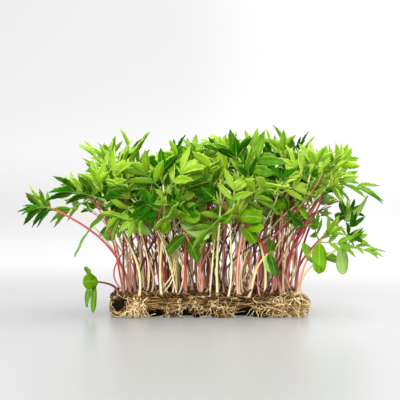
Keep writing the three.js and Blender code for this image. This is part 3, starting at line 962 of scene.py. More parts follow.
def bump(tree, shader, height, distance, strength):
    inputs = {"Height": height, "Distance": distance, "Strength": strength}
    tree.links.new(add_node(tree, "ShaderNodeBump", inputs).outputs[0], shader.inputs["Normal"])


def let_light_in(shader, weight, radius, scale):
    shader.inputs["Subsurface Weight"].default_value = weight
    shader.inputs["Subsurface Radius"].default_value = radius
    shader.inputs["Subsurface Scale"].default_value = scale


# Heights in metres between which one colour gives way to the next
# Painted shade: leaves are painted darker low in the canopy and lighter near its top, between these
# heights
CANOPY_SHADE_HEIGHTS = (0.056, 0.092)
STEM_FEET = (0.011, 0.027)
STEM_TIPS = (0.064, 0.096)
# Painted shade: below these heights the pad's core is painted near black, for the shadow at its foot
FOOT_SHADE_HEIGHTS = (0.004, 0.0075)

# How light goes in: its weight, its radius in red, green and blue, and its scale in metres
LEAF_LIGHT = (0.4, (0.6, 1.0, 0.15), 0.0015)
RIB_LIGHT = (0.4, (0.7, 1.0, 0.3), 0.001)
STEM_LIGHT = (0.35, (1.0, 0.5, 0.35), 0.0008)


def leaf_material(name, settings, underside):
    """Green tissue with a pale midrib and side veins that slant towards the tip, painted darker low in
    the canopy as painted shade, with a painted highlight along the rim and on the veins.
    """
    material, tree, shader = new_material(name)
    along, across, tone = blade_place(tree)
    off_rib = math_node(tree, "ABSOLUTE", across)
    patches = object_noise(tree, 140)
    # Painted shade: the lower a point lies in the canopy, the darker its green
    young = smooth_range(tree, object_axis(tree, 2), *CANOPY_SHADE_HEIGHTS, -0.45, 0.3)
    shade = math_node(tree, "MULTIPLY_ADD", patches, 0.8, -0.4)
    shade = math_node(tree, "ADD", math_node(tree, "ADD", tone, young), shade, clamp=True)
    deep = [part * (2.2 if underside else 1.0) for part in settings.deep_green]
    bright = settings.underside_green if underside else settings.bright_green
    green = mix_colour(tree, shade, rgba(deep), rgba(bright))
    slant = math_node(tree, "MULTIPLY_ADD", off_rib, -0.16, along)
    wave = math_node(tree, "SINE", math_node(tree, "MULTIPLY", slant, 44.0))
    veins = smooth_range(tree, wave, 0.8, 1.0)
    veins = math_node(tree, "MULTIPLY", veins, smooth_range(tree, off_rib, 1.0, 0.1))
    midrib = smooth_range(tree, off_rib, 0.16, 0.03)
    lines = math_node(tree, "MAXIMUM", math_node(tree, "MULTIPLY", veins, 0.35), midrib)
    # Painted highlight: the blade is painted paler towards its rim, as if lit through its thin edge; the
    # veins are painted paler still as painted highlight
    rim = smooth_range(tree, off_rib, 0.8, 1.0, 0.0, 0.5)
    pale = math_node(tree, "MAXIMUM", lines, rim)
    pale = math_node(tree, "MULTIPLY", pale, math_node(tree, "MULTIPLY_ADD", shade, 0.5, 0.08))
    colour = mix_colour(tree, pale, green, rgba(settings.vein_and_highlight_green))
    tree.links.new(colour, shader.inputs["Base Color"])
    fine = object_noise(tree, 1400, detail=2.0)
    relief = math_node(tree, "MULTIPLY_ADD", fine, 0.3, math_node(tree, "MULTIPLY", lines, -1.0))
    bump(tree, shader, relief, 0.00012, 0.8)
    roughness = math_node(tree, "MULTIPLY_ADD", patches, 0.2, 0.5 if underside else 0.28)
    tree.links.new(roughness, shader.inputs["Roughness"])
    sheen = math_node(tree, "MULTIPLY", shade, 0.15 if underside else 0.42)
    tree.links.new(sheen, shader.inputs["Specular IOR Level"])
    let_light_in(shader, *LEAF_LIGHT)
    return material


def seed_leaf_material(name, settings, underside):
    """Smooth fleshy green with one faint midrib."""
    material, tree, shader = new_material(name)
    _, across, tone = blade_place(tree)
    shade = math_node(tree, "ADD", tone, object_noise(tree, 120), clamp=True)
    light = settings.seed_underside if underside else settings.seed_leaf_green
    colour = mix_colour(tree, shade, rgba(settings.deep_green), rgba(light))
    midrib = smooth_range(tree, math_node(tree, "ABSOLUTE", across), 0.14, 0.0, 0.0, 0.3)
    colour = mix_colour(tree, midrib, colour, rgba(settings.vein_and_highlight_green))
    tree.links.new(colour, shader.inputs["Base Color"])
    bump(tree, shader, object_noise(tree, 900, detail=2.0), 0.00008, 0.5)
    shader.inputs["Roughness"].default_value = 0.4
    shader.inputs["Specular IOR Level"].default_value = 0.1
    let_light_in(shader, *LEAF_LIGHT)
    return material


def stem_material(settings):
    """Slim juicy stems, crimson to pale green, fading to cream where they leave the pad; the highest
    tones are painted near black crimson, painted shade for stems deep in the bunch.
    """
    material, tree, shader = new_material("stem_tissue")
    tone = add_node(tree, "ShaderNodeAttribute", attribute_name="tone").outputs["Fac"]
    height = object_axis(tree, 2)
    streaks = object_noise(tree, 900, stretch=(1, 1, 0.12), detail=2.0)
    blush = math_node(tree, "MULTIPLY_ADD", streaks, 0.4, -0.2)
    blush = math_node(tree, "ADD", tone, blush, clamp=True)
    low = mix_colour(tree, blush, rgba(settings.foot_cream), rgba(settings.foot_pink))
    rosy = smooth_range(tree, blush, 0.05, 0.55)
    middle = mix_colour(tree, rosy, rgba(settings.pale_green), rgba(settings.rose))
    middle = mix_colour(tree, smooth_range(tree, blush, 0.5, 1.0), middle, rgba(settings.crimson))
    high = mix_colour(tree, blush, rgba(settings.tip_green), rgba(settings.tip_blush))
    colour = mix_colour(tree, smooth_range(tree, height, *STEM_FEET), low, middle)
    colour = mix_colour(tree, smooth_range(tree, height, *STEM_TIPS), colour, high)
    # Painted shade: stems of tone 1 to 2 go over to near black crimson, for stems in shadow deep in the
    # bunch
    colour = mix_colour(tree, smooth_range(tree, tone, 1.0, 2.0), colour, rgba(settings.painted_shade_crimson))
    tree.links.new(colour, shader.inputs["Base Color"])
    bump(tree, shader, streaks, 0.0001, 0.5)
    shader.inputs["Roughness"].default_value = 0.34
    let_light_in(shader, *STEM_LIGHT)
    return material


def rib_material(settings):
    """Green leaf ribs with paler patches."""
    material, tree, shader = new_material("rib_tissue")
    patches = smooth_range(tree, object_noise(tree, 160, detail=2.0), 0.5, 0.72)
    colour = mix_colour(tree, patches, rgba(settings.rib_green), rgba(settings.tip_green))
    tree.links.new(colour, shader.inputs["Base Color"])
    shader.inputs["Roughness"].default_value = 0.4
    let_light_in(shader, *RIB_LIGHT)
    return material


# Painted shade: the near black of the shadow at the pad's foot and in the hollows under its edge
FOOT_SHADE_BLACK = (0.001, 0.001, 0)
COAT_BLACK = (0.008, 0.006, 0.005)
COAT_BROWN = (0.07, 0.05, 0.035)


def fibre_material(name, dark, light, scale=700, relief=0.0001, shaded_foot=False):
    """Fibre whose colour runs in streaks along the pad's sides; when its last argument is true it is
    painted near black low down, painted shade where the pad's foot and the hollows under its edge lie in
    shadow.
    """
    material, tree, shader = new_material(name)
    streaks = object_noise(tree, scale, stretch=(0.15, 0.15, 1.0), detail=4.0)
    patches = object_noise(tree, scale * 0.16, detail=2.0)
    factor = math_node(tree, "ADD", streaks, math_node(tree, "MULTIPLY_ADD", patches, 0.8, -0.4))
    colour = mix_colour(tree, smooth_range(tree, factor, 0.32, 0.66), rgba(dark), rgba(light))
    # Painted shade: near black low down, for the shadow at the pad's foot and in the hollows under its
    # edge
    if shaded_foot:
        out_of_foot_shade = smooth_range(tree, object_axis(tree, 2), *FOOT_SHADE_HEIGHTS)
        colour = mix_colour(tree, out_of_foot_shade, rgba(FOOT_SHADE_BLACK), colour)
    tree.links.new(colour, shader.inputs["Base Color"])
    bump(tree, shader, streaks, relief, 0.8)
    shader.inputs["Roughness"].default_value = 0.8
    shader.inputs["Specular IOR Level"].default_value = 0.15
    return material


def strand_materials(kind, *colours):
    """One finish for each pair of neighbouring colours, from the darkest strands to the palest."""
    return [
        fibre_material(f"{kind}_{number + 1}", dark, light)
        for number, (dark, light) in enumerate(zip(colours, colours[1:]))
    ]


def strand_picks(chance, routes, weights):
    return [chance.choices(range(len(weights)), weights)[0] for _ in routes]


# The pad and its roots

def pad_edge(angle, height):
    """How far the pad's side is from its middle, in millimetres, waved and bulging a little."""
    across = abs(math.cos(angle) / PAD.half_length) ** PAD.squareness
    along = abs(math.sin(angle) / PAD.half_depth) ** PAD.squareness
    wave = 0.7 * math.sin(7 * angle + 0.4 * height) + 0.45 * math.sin(13 * angle + 1.3)
    bulge = 1.5 * math.sin(math.pi * min(max(height, 0), PAD.top) / PAD.top)
    return (across + along) ** (-1 / PAD.squareness) + wave + bulge


def rough(place, scale, seed=0.0):
    return noise.fractal(Vector(place) * scale + Vector((seed, seed, seed)), 0.7, 2.1, 4)


# Hollows under the pad's front edge: middle x, half width and height
FRONT_HOLLOWS = [(-31.5, 5.0, 5.2), (-14, 5.5, 5.4), (-1, 3.5, 4.2), (22, 7.5, 6.0), (39, 4.0, 5.0)]
CORNER_DENT = SimpleNamespace(x=-51.5, half_width=6.0, height=6.6, half_height=4.6, depth=9.0)


def edge_lift(angle):
    """How far the pad's rim stands off the surface, in millimetres."""
    x = math.cos(angle) * pad_edge(angle, 0)
    if math.sin(angle) < 0 and abs(x) < PAD.half_length - 10:
        ragged = 1 + 0.5 * noise.noise(Vector((x * 0.45, 1.7, 3.1)))
        hollows = [height * max(0, 1 - abs((x - mid) / half) ** 3) for mid, half, height in FRONT_HOLLOWS]
        return max(hollows) * ragged
    return max(0.0, noise.noise(Vector((math.cos(angle) * 7, math.sin(angle) * 7, 4.2)))) * 9.0


def dent(angle, height):
    """How far the pad's front left corner is eaten away at a height."""
    if math.sin(angle) > 0:
        return 0.0
    across = (math.cos(angle) * pad_edge(angle, 0) - CORNER_DENT.x) / CORNER_DENT.half_width
    above = (height - CORNER_DENT.height) / CORNER_DENT.half_height
    return CORNER_DENT.depth * max(0.0, 1 - across * across - above * above)


def underside_lift(angle, edge_share):
    return edge_lift(angle) * max(0.0, (edge_share - 0.72) / 0.28) ** 0.8


PAD_MESH = SimpleNamespace(
    columns=112, rows=76, side_cuts=9, side_from=0.985, inset=0.6, rim_share=0.07, rim_fall=2.2,
)


def pad_piece(material):
    """The pad: a grid drawn in to the pad's outline, raised, and roughened all over."""
    shape = bmesh.new()
    bmesh.ops.create_grid(shape, x_segments=PAD_MESH.columns, y_segments=PAD_MESH.rows, size=1)
    for vert in shape.verts:
        angle = math.atan2(vert.co.y * PAD.half_depth, vert.co.x * PAD.half_length)
        size = max(abs(vert.co.x), abs(vert.co.y)) * pad_edge(angle, 0)
        vert.co = Vector((math.cos(angle) * size, math.sin(angle) * size, 0))
    raised = bmesh.ops.extrude_face_region(shape, geom=shape.faces[:])
    top = [part for part in raised["geom"] if isinstance(part, bmesh.types.BMVert)]
    bmesh.ops.translate(shape, verts=top, vec=(0, 0, PAD.top))
    upright = [e for e in shape.edges if abs(e.verts[0].co.z - e.verts[1].co.z) > 1]
    bmesh.ops.subdivide_edges(shape, edges=upright, cuts=PAD_MESH.side_cuts, use_grid_fill=True)
    for vert in shape.verts:
        x, y, z = vert.co
        angle = math.atan2(y, x)
        reach = math.hypot(x, y)
        edge_share = min(reach / pad_edge(angle, 0), 1.0)
        if edge_share > PAD_MESH.side_from:
            out = pad_edge(angle, z) - PAD_MESH.inset - dent(angle, z)
            out += 1.5 * rough((angle * 6, z * 0.5, 1.0), 1.0) + 0.7 * rough((x, y, z * 3), 0.5)
            vert.co.x = math.cos(angle) * out
            vert.co.y = math.sin(angle) * out
        if z > PAD.top - 0.1:
            rim = max(0.0, 1 - (1 - edge_share) / PAD_MESH.rim_share)
            vert.co.z = PAD.top - PAD_MESH.inset - PAD_MESH.rim_fall * rim**2
            vert.co.z += 1.4 * rough((x, y, 0), 0.16)
            vert.co.z += 0.5 * rough((x, y, 9), 0.7)
        elif z < 0.1:
            vert.co.z = underside_lift(angle, edge_share)
        else:
            vert.co.z = z + edge_lift(angle) * (1 - z / PAD.top)
    bmesh.ops.scale(shape, vec=(MM, MM, MM), verts=shape.verts[:])
    bmesh.ops.recalc_face_normals(shape, faces=shape.faces[:])
    return object_of(shape, "fibre_mat", material)


LOWEST_ROOT = 0.3
# Fibres end where the corner is eaten away by more than this, in millimetres
DENT_REACH = 2.5
CURL = SimpleNamespace(steps=24, stride=1.5, turn=0.15, radius=(0.18, 0.4))


def beside_pad(angle, height, out):
    """A place just off the pad's side."""
    reach = pad_edge(angle, height) - dent(angle, height) + out
    return np.array([reach * math.cos(angle), reach * math.sin(angle), height])


def side_fibres(count, chance, spread, radius, slope):
    """Fibres that run along the pad's sides, some of them standing off a little."""
    routes = []
    for _ in range(count):
        angle = chance.uniform(-math.pi, math.pi)
        height = chance.uniform(0.8, PAD.top - 0.6)
        swing = chance.uniform(*spread) * chance.choice((-1, 1))
        fall = chance.uniform(-slope, slope)
        out = chance.uniform(-0.6, 0.5)
        thick = chance.uniform(*radius)
        phase = chance.uniform(0, 6.28)
        route = []
        for share in shares(7):
            level = height + fall * share + 0.5 * math.sin(5 * share + phase)
            level = min(max(level, 0.5), PAD.top - 0.1)
            away = out + 0.45 * math.sin(4.2 * share + 2 * phase)
            turn = angle + swing * share
            if level < edge_lift(turn) or dent(turn, level) > DENT_REACH:
                break
            place = beside_pad(turn, level, away)
            route.append((place, thick * (1.0 - 0.55 * abs(2 * share - 1) ** 3)))
        if len(route) > 2:
            routes.append(route)
    return routes


def wander(chance, start, toward, middle, half):
    """A root's route: it curls at random and turns back where it would leave an ellipsoid."""
    places = [start]
    direction = unit(toward)
    for _ in range(CURL.steps):
        direction = unit(direction + CURL.turn * np.array([chance.gauss(0, 1) for _ in range(3)]))
        place = places[-1] + direction * CURL.stride
        offset = (place - middle) / half
        out = math.sqrt(float(offset @ offset))
        if out > 0.85:
            direction = unit(direction - 0.7 * unit(offset * half))
        if out > 1.2:
            place = middle + half * offset * 1.2 / out
        place[2] = max(place[2], LOWEST_ROOT)
        places.append(place)
    return places


def root_route(places, thick):
    """A route that thins towards its end."""
    last = len(places) - 1
    return [(place, thick * (1 - 0.6 * k / last)) for k, place in enumerate(places)]


# Roots draped over the pad's front: middle x, half width, and how many
DRAPES = [(-41.5, 4.6, 30), (-21, 2.6, 7), (8, 3.4, 9), (30, 2.6, 5), (46, 5.0, 14)]

# Balls of root at the corners and edges: middle x, y and z, half sizes, how many, their fall
TUFTS = [
    ((-41.5, -37.5, 4.0), (7.0, 4.4, 4.2), 22, 0.6),
    ((49.5, -32.5, 7.4), (11.0, 8.0, 8.2), 44, 0.5),
    ((40, -36.5, 5.6), (7.5, 4.0, 5.6), 30, 1.0),
    ((-50, 32, 5.0), (7.0, 5.5, 5.0), 50, 0.7),
    ((50, 32, 5.0), (7.0, 5.5, 5.0), 50, 0.7),
    ((57, 2, 4.0), (2.6, 9.0, 3.8), 30, 0.7),
    ((-57, 4, 4.0), (2.4, 8.0, 3.6), 30, 0.7),
    ((4, 38.5, 3.4), (12.0, 2.4, 3.2), 30, 0.7),
]


def dent_rim(chance, count):
    """Roots that ring the hollow in the pad's front left corner."""
    routes = []
    for _ in range(count):
        begin = chance.uniform(0.8, 1.7) * math.pi
        sweep = chance.uniform(0.2, 0.6) * math.pi
        grow = chance.uniform(0.8, 1.2)
        depth = chance.uniform(-37.5, -32)
        phase = chance.uniform(0, 6.28)
        route = []
        for turn in (begin + share for share in shares(13, sweep)):
            wave = grow + 0.1 * math.sin(4 * turn + phase)
            x = CORNER_DENT.x + CORNER_DENT.half_width * wave * math.cos(turn)
            z = CORNER_DENT.height + CORNER_DENT.half_height * wave * math.sin(turn)
            x = max(x, 0.3 * math.sin(3 * turn + phase) - PAD.half_length - 0.5)
            back = 0.08 * (x - CORNER_DENT.x) ** 2 if x < CORNER_DENT.x else 0
            place = np.array([x, depth + back, max(z, LOWEST_ROOT)])
            route.append((place, 0.2 + 0.1 * chance.random()))
        routes.append(route)
    return routes


def draped_roots(chance, middle, half_width, count):
    """Roots that fall from the pad's front edge and spread out over the surface."""
    routes = []
    for _ in range(count):
        across = chance.gauss(0, 0.7)
        top = chance.uniform(5, PAD.top + 0.5)
        spread = 2.0 * across + chance.gauss(0, 3.5)
        out = chance.uniform(0.5, 5.5)
        phase = chance.uniform(0, 6.28)
        thick = chance.uniform(0.14, 0.34)
        route = []
        for share in shares(15):
            x = middle + half_width * across + spread * share**1.5
            x += 1.2 * math.sin(6 * share + phase) + 0.5 * math.sin(13 * share + 3 * phase)
            y = -PAD.half_depth - 1.0 - out * share**1.7 - 1.2 * math.sin(math.pi * share)
            z = top * (1 - share**1.4) + 0.35 + 0.3 * math.sin(5 * share + phase)
            route.append((np.array([x, y, max(z, 0.35)]), thick * (1 - 0.4 * share)))
        routes.append(route)
    return routes


def tuft_roots(chance):
    """The ring of the corner hollow, the draped roots, and the balls of root."""
    routes = dent_rim(chance, 34)
    for middle, half_width, count in DRAPES:
        routes += draped_roots(chance, middle, half_width, count)
    for middle, half, count, fall in TUFTS:
        middle = np.array(middle, float)
        half = np.array(half, float)
        for _ in range(count):
            ball = unit(np.array([chance.gauss(0, 1) for _ in range(3)]))
            start = middle + ball * half * chance.uniform(0.2, 1.0)
            start[2] = max(start[2], LOWEST_ROOT)
            toward = np.array([chance.gauss(0, 1), chance.gauss(0, 0.6), chance.gauss(-fall, 1)])
            places = wander(chance, start, toward, middle, half)
            routes.append(root_route(places, chance.uniform(*CURL.radius)))
    return routes


def hanging_roots(chance, count):
    """Pale roots that leave the pad's side, bow out and come down to its foot at a slant."""
    routes = []
    for _ in range(count):
        angle = chance.uniform(-math.pi, math.pi)
        height = chance.uniform(2.5, PAD.top + 0.8)
        swing = chance.gauss(0, 0.17)
        end = chance.choice((0.35, 0.35, 2.5, 5))
        belly = chance.uniform(0.1, 1.6)
        reach = chance.uniform(0, 2.2) if end < 1 else 0
        thick = chance.uniform(0.11, 0.24)
        phase = chance.uniform(0, 6.28)
        crosses = chance.random() < 0.3
        route = []
        for share in shares(11):
            level = height + (end - height) * share**1.3 + 0.25 * math.sin(4 * share + phase)
            out = 0.1 + belly * math.sin(math.pi * share) + 0.25 * math.sin(6 * share + 2 * phase)
            out += reach * share * share
            turn = angle + swing * (share + 0.12 * math.sin(5 * share + phase))
            if dent(turn, level) > DENT_REACH or (level < 0.85 * edge_lift(turn) and not crosses):
                break
            place = beside_pad(turn, min(max(level, 0.35), PAD.top + 0.8), out)
            route.append((place, thick * (1 - 0.5 * share)))
        if len(route) > 2:
            routes.append(route)
    return routes


def inside_pad(chance, margin):
    """A random place on the pad's top."""
    while True:
        x = chance.uniform(-1, 1) * PAD.half_length
        y = chance.uniform(-1, 1) * PAD.half_depth
        if math.hypot(x, y) < pad_edge(math.atan2(y, x), 0) - margin:
            return x, y


FRONT_LITTER_Y = -27.0


def litter_routes(chance, count, radius, lift, margin=5.0, front=PAD.half_depth):
    """Loose fibres that lie on the top of the pad, all in front of a line if one is given."""
    routes = []
    while len(routes) < count:
        x, y = inside_pad(chance, margin)
        if y > front:
            continue
        turn = chance.uniform(0, 2 * math.pi)
        length = chance.uniform(4, 13)
        arch = chance.uniform(*lift)
        bend = chance.uniform(-1, 1)
        thick = chance.uniform(*radius)
        route = []
        for share in (part - 0.5 for part in shares(6)):
            angle = turn + bend * share
            px = x + math.cos(angle) * length * share
            py = y + math.sin(angle) * length * share
            ground = PAD.top - 0.6 + 1.1 * rough((px, py, 0), 0.16)
            route.append((np.array([px, py, ground + arch * (1 - 4 * share * share)]), thick))
        routes.append(route)
    return routes


COATS = SimpleNamespace(
    count=26, half_width=0.62, half_length=3.3, x=(-50, 50), y=(-35, -12), lean=(5, 70), lift=(1.0, 3.0)
)


def loose_coats(material):
    """Spent seed coats that lie and stand between the stems along the front."""
    chance = random.Random(SEED + 13)
    coats = bmesh.new()
    for _ in range(COATS.count):
        made = bmesh.ops.create_uvsphere(coats, u_segments=8, v_segments=6, radius=1)
        x, y = chance.uniform(*COATS.x), chance.uniform(*COATS.y)
        size = (COATS.half_width, COATS.half_width, COATS.half_length * chance.uniform(0.7, 1.1))
        lean = Matrix.Rotation(math.radians(chance.uniform(*COATS.lean)), 4, "Y")
        turn = Matrix.Rotation(chance.uniform(0, 2 * math.pi), 4, "Z")
        place = Matrix.Translation((x, y, PAD.top + chance.uniform(*COATS.lift)))
        matrix = Matrix.Scale(MM, 4) @ place @ turn @ lean @ Matrix.Diagonal((*size, 1))
        bmesh.ops.transform(coats, matrix=matrix, verts=made["verts"])
    return object_of(coats, "loose_coats", material)


# Settings that a user would change

def colour_property(name, description, default):
    return bpy.props.FloatVectorProperty(
        name=name, description=description, default=default, subtype="COLOR", size=3, min=0, max=1
    )


def number_property(name, description, default, unit="NONE"):
    return bpy.props.FloatProperty(name=name, description=description, default=default, unit=unit)


def count_property(name, description, default):
    return bpy.props.IntProperty(name=name, description=description, default=default, min=0)


class LeafSettings(bpy.types.PropertyGroup):
    bright_green: colour_property("Bright green", "Leaf top in full light", (0.32, 0.51, 0.004))
    # Deep green: darker leaves, seed leaves, and the painted shade of leaves low in the canopy
    deep_green: colour_property("Deep green", "Older leaves and seed leaves", (0.011, 0.08, 0.0004))
    underside_green: colour_property("Underside", "Lower face of a leaf", (0.29, 0.49, 0.012))
    seed_leaf_green: colour_property("Seed leaf", "Upper face of a seed leaf", (0.16, 0.36, 0.003))
    seed_underside: colour_property("Seed leaf back", "Lower face of a seed leaf", (0.32, 0.51, 0.13))
    # Pale green of the veins and midrib, made paler as painted highlight, and of the painted highlight on
    # the leaf's rim
    vein_and_highlight_green: colour_property("Veins", "Midrib, side veins and rim", (0.62, 0.74, 0.26))
    thickness: number_property("Thickness", "Leaf thickness", 0.00035, "LENGTH")


class StemSettings(bpy.types.PropertyGroup):
    crimson: colour_property("Crimson", "Blushed stems at mid height", (0.58, 0.045, 0.065))
    rose: colour_property("Rose", "Half blushed stems at mid height", (0.84, 0.38, 0.27))
    pale_green: colour_property("Pale green", "Stems without blush", (0.92, 0.85, 0.38))
    # Painted shade: the near black crimson of stems in shadow deep in the bunch
    painted_shade_crimson: colour_property("Deep crimson", "Darkest stems", (0.07, 0.005, 0.012))
    foot_cream: colour_property("Foot cream", "Pale stems where they leave the pad", (0.94, 0.8, 0.5))
    foot_pink: colour_property("Foot pink", "Blushed stems where they leave the pad", (0.76, 0.3, 0.23))
    rib_green: colour_property("Rib green", "Ribs of the leaves", (0.14, 0.3, 0.02))
    tip_green: colour_property("Tip green", "Stem and ribs among the leaves", (0.45, 0.6, 0.09))
    tip_blush: colour_property("Tip blush", "Blushed stems among the leaves", (0.52, 0.32, 0.09))


class MatSettings(bpy.types.PropertyGroup):
    side_fibre_count: count_property("Side fibres", "Brown fibres along the pad's sides", 1300)
    side_root_count: count_property("Side roots", "Pale roots along the pad's sides", 330)
    hanging_root_count: count_property("Hanging roots", "Pale roots down the pad's sides", 290)
    litter_count: count_property("Litter", "Loose fibres on the pad's top", 520)
    front_litter_count: count_property("Front litter", "More of them along the front", 220)
    peat_brown: colour_property("Peat", "Darkest fibre", (0.014, 0.007, 0.003))
    coir_brown: colour_property("Coir", "Middle fibre", (0.1, 0.048, 0.013))
    straw: colour_property("Straw", "Tan fibre", (0.25, 0.13, 0.036))
    pale_straw: colour_property("Pale straw", "Lightest fibre", (0.52, 0.32, 0.11))
    root_cream: colour_property("Root cream", "Fresh roots", (1.0, 0.85, 0.5))


class StageSettings(bpy.types.PropertyGroup):
    floor_white: colour_property("Floor", "Floor and backdrop", (0.26, 0.26, 0.26))
    floor_glow: number_property("Floor glow", "How far the floor lights itself", 0.155)
    wall_glow: number_property("Wall glow", "How far the wall lights itself", 0.37)
    top_glow: number_property("Top glow", "What the upper wall adds to the wall glow", 0.21)
    right_glow: number_property("Right glow", "How far the right side lights itself", 0.065)
    back_light: number_property("Back light", "Softbox above and behind", 26.0, "POWER")
    front_light: number_property("Front light", "Softbox above and in front", 18.0, "POWER")
    room_light: number_property("Room light", "Even light from all round", 0.2)


# Operators

# Floor, arc and wall of the backdrop, in metres
STAGE = SimpleNamespace(
    near_edge=-1.6, arc_start=0.75, arc_radius=0.7, arc_steps=16, height=2.2, half_width=2.2,
)
LAMPS = {
    "back_softbox": SimpleNamespace(place=(0.3, 0.2, 1.1), size=1.4, power="back_light"),
    "front_softbox": SimpleNamespace(place=(-0.3, -1.0, 0.6), size=0.8, power="front_light"),
}
LAMP_AIM = Vector((0, 0, 0.06))
CAMERA = SimpleNamespace(lens=100.0, sensor=36.0, elevation=1.0, photo_width=400, mm_per_pixel=0.577)
# The pixel of the photograph where the middle of the pad's front meets the floor
PHOTO_ORIGIN = SimpleNamespace(x=208, y=318)


class MICROGREENS_OT_stage(bpy.types.Operator):
    """Make the floor, backdrop, lights and camera"""

    bl_idname = "microgreens.stage"
    bl_label = "Make stage"

    def execute(self, context):
        settings = context.scene.microgreens_stage
        sweep = bmesh.new()
        profile = [(STAGE.near_edge, 0.0)]
        for k in range(STAGE.arc_steps + 1):
            angle = math.radians(90 * k / STAGE.arc_steps)
            profile.append((
                STAGE.arc_start + STAGE.arc_radius * math.sin(angle),
                STAGE.arc_radius * (1 - math.cos(angle)),
            ))
        profile.append((STAGE.arc_start + STAGE.arc_radius, STAGE.height))
        verts = [sweep.verts.new((-STAGE.half_width, y, z)) for y, z in profile]
        edges = [sweep.edges.new(pair) for pair in zip(verts, verts[1:])]
        moved = bmesh.ops.extrude_edge_only(sweep, edges=edges)
        far = [part for part in moved["geom"] if isinstance(part, bmesh.types.BMVert)]
        bmesh.ops.translate(sweep, verts=far, vec=(2 * STAGE.half_width, 0, 0))
        bmesh.ops.recalc_face_normals(sweep, faces=sweep.faces[:])
        object_of(sweep, "backdrop", backdrop_material(settings))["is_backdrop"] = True
        for name, lamp in LAMPS.items():
            light = bpy.data.lights.new(name, "AREA")
            light.size = lamp.size
            light.energy = getattr(settings, lamp.power)
            holder = bpy.data.objects.new(name, light)
            holder.location = lamp.place
            aim = LAMP_AIM - Vector(lamp.place)
            holder.rotation_euler = aim.to_track_quat("-Z", "Y").to_euler()
            context.scene.collection.objects.link(holder)
        world = bpy.data.worlds.new("studio")
        world.use_nodes = True
        background = world.node_tree.nodes["Background"]
        background.inputs["Color"].default_value = (1, 1, 1, 1)
        background.inputs["Strength"].default_value = settings.room_light
        context.scene.world = world
        context.scene.view_settings.view_transform = "Standard"
        make_camera(context)
        return {"FINISHED"}


def backdrop_material(settings):
    """Satin white that glows a little more towards the right, and towards the wall."""
    material, tree, shader = new_material("backdrop_paper")
    x, y, z = (object_axis(tree, axis) for axis in range(3))
    far = smooth_range(tree, y, 0.08, 0.42, settings.floor_glow, settings.wall_glow)
    up = smooth_range(tree, z, 0.0, 0.14, 0.0, settings.top_glow)
    near = smooth_range(tree, y, -0.3, -0.03)
    right = smooth_range(tree, x, -0.05, 0.12, 0.0, settings.right_glow)
    right = math_node(tree, "MULTIPLY", right, near)
    wall = math_node(tree, "ADD", far, up)
    shader.inputs["Base Color"].default_value = rgba(settings.floor_white)
    shader.inputs["Roughness"].default_value = 0.3
    shader.inputs["Emission Color"].default_value = (1, 1, 1, 1)
    tree.links.new(math_node(tree, "ADD", wall, right), shader.inputs["Emission Strength"])
    return material


def make_camera(context):
    """The photograph's view: nearly level, with the pad's front at its measured scale."""
    data = bpy.data.cameras.new("camera")
    data.lens = CAMERA.lens
    data.sensor_width = CAMERA.sensor
    camera = bpy.data.objects.new("camera", data)
    width = CAMERA.photo_width * CAMERA.mm_per_pixel
    distance = width * CAMERA.lens / CAMERA.sensor
    middle = CAMERA.photo_width / 2
    target = Vector((
        (middle - PHOTO_ORIGIN.x) * CAMERA.mm_per_pixel,
        -PAD.half_depth,
        (PHOTO_ORIGIN.y - middle) * CAMERA.mm_per_pixel,
    ))
    tilt = math.radians(CAMERA.elevation)
    place = target + Vector((0, -math.cos(tilt), math.sin(tilt))) * distance
    camera.location = place * MM
    camera.rotation_euler = (math.radians(90 - CAMERA.elevation), 0, 0)
    context.scene.collection.objects.link(camera)
    context.scene.camera = camera


# Stem colours taken in turn: 0 is pale green, 0.5 rose, 1 crimson and 2 the darkest, a painted shade for
# stems deep in the bunch
STEM_TONES = (1.0, 0.05, 0.85, 0.55, 0.0, 1.6, 0.15, 0.75, 0.0, 1.2, 0.1, 0.5)


class MICROGREENS_OT_stems(bpy.types.Operator):
    """Make every seedling's stem with its leaf ribs"""

    bl_idname = "microgreens.stems"
    bl_label = "Make stems"

    def execute(self, context):
        settings = context.scene.microgreens_stems
        materials = (stem_material(settings), rib_material(settings))
        for number, seedling in enumerate(LAYOUT):
            tone = STEM_TONES[number % len(STEM_TONES)]
            stem = stem_piece(node_name(number) + "_stem", seedling, materials, tone)
            finish_piece(stem, "stem", node_name(number))
        for number, seedling in enumerate(INFILL_SEEDLINGS):
            tone = STEM_TONES[(number * 5 + 3) % len(STEM_TONES)]
            finish_piece(stem_piece(infill_name(number) + "_stem", seedling, materials, tone), "stem")
        for number, tone in enumerate(SLIM.tones):
            routes = [stem_routes(slim)[0] for slim in SLIM_STEMS[number :: len(SLIM.tones)]]
            obj = tubes(f"slim_stems_{number + 1}", routes, 6, materials[:1], [0] * len(routes))
            set_tone(obj.data, tone)
            finish_piece(obj, "stem")
        return {"FINISHED"}


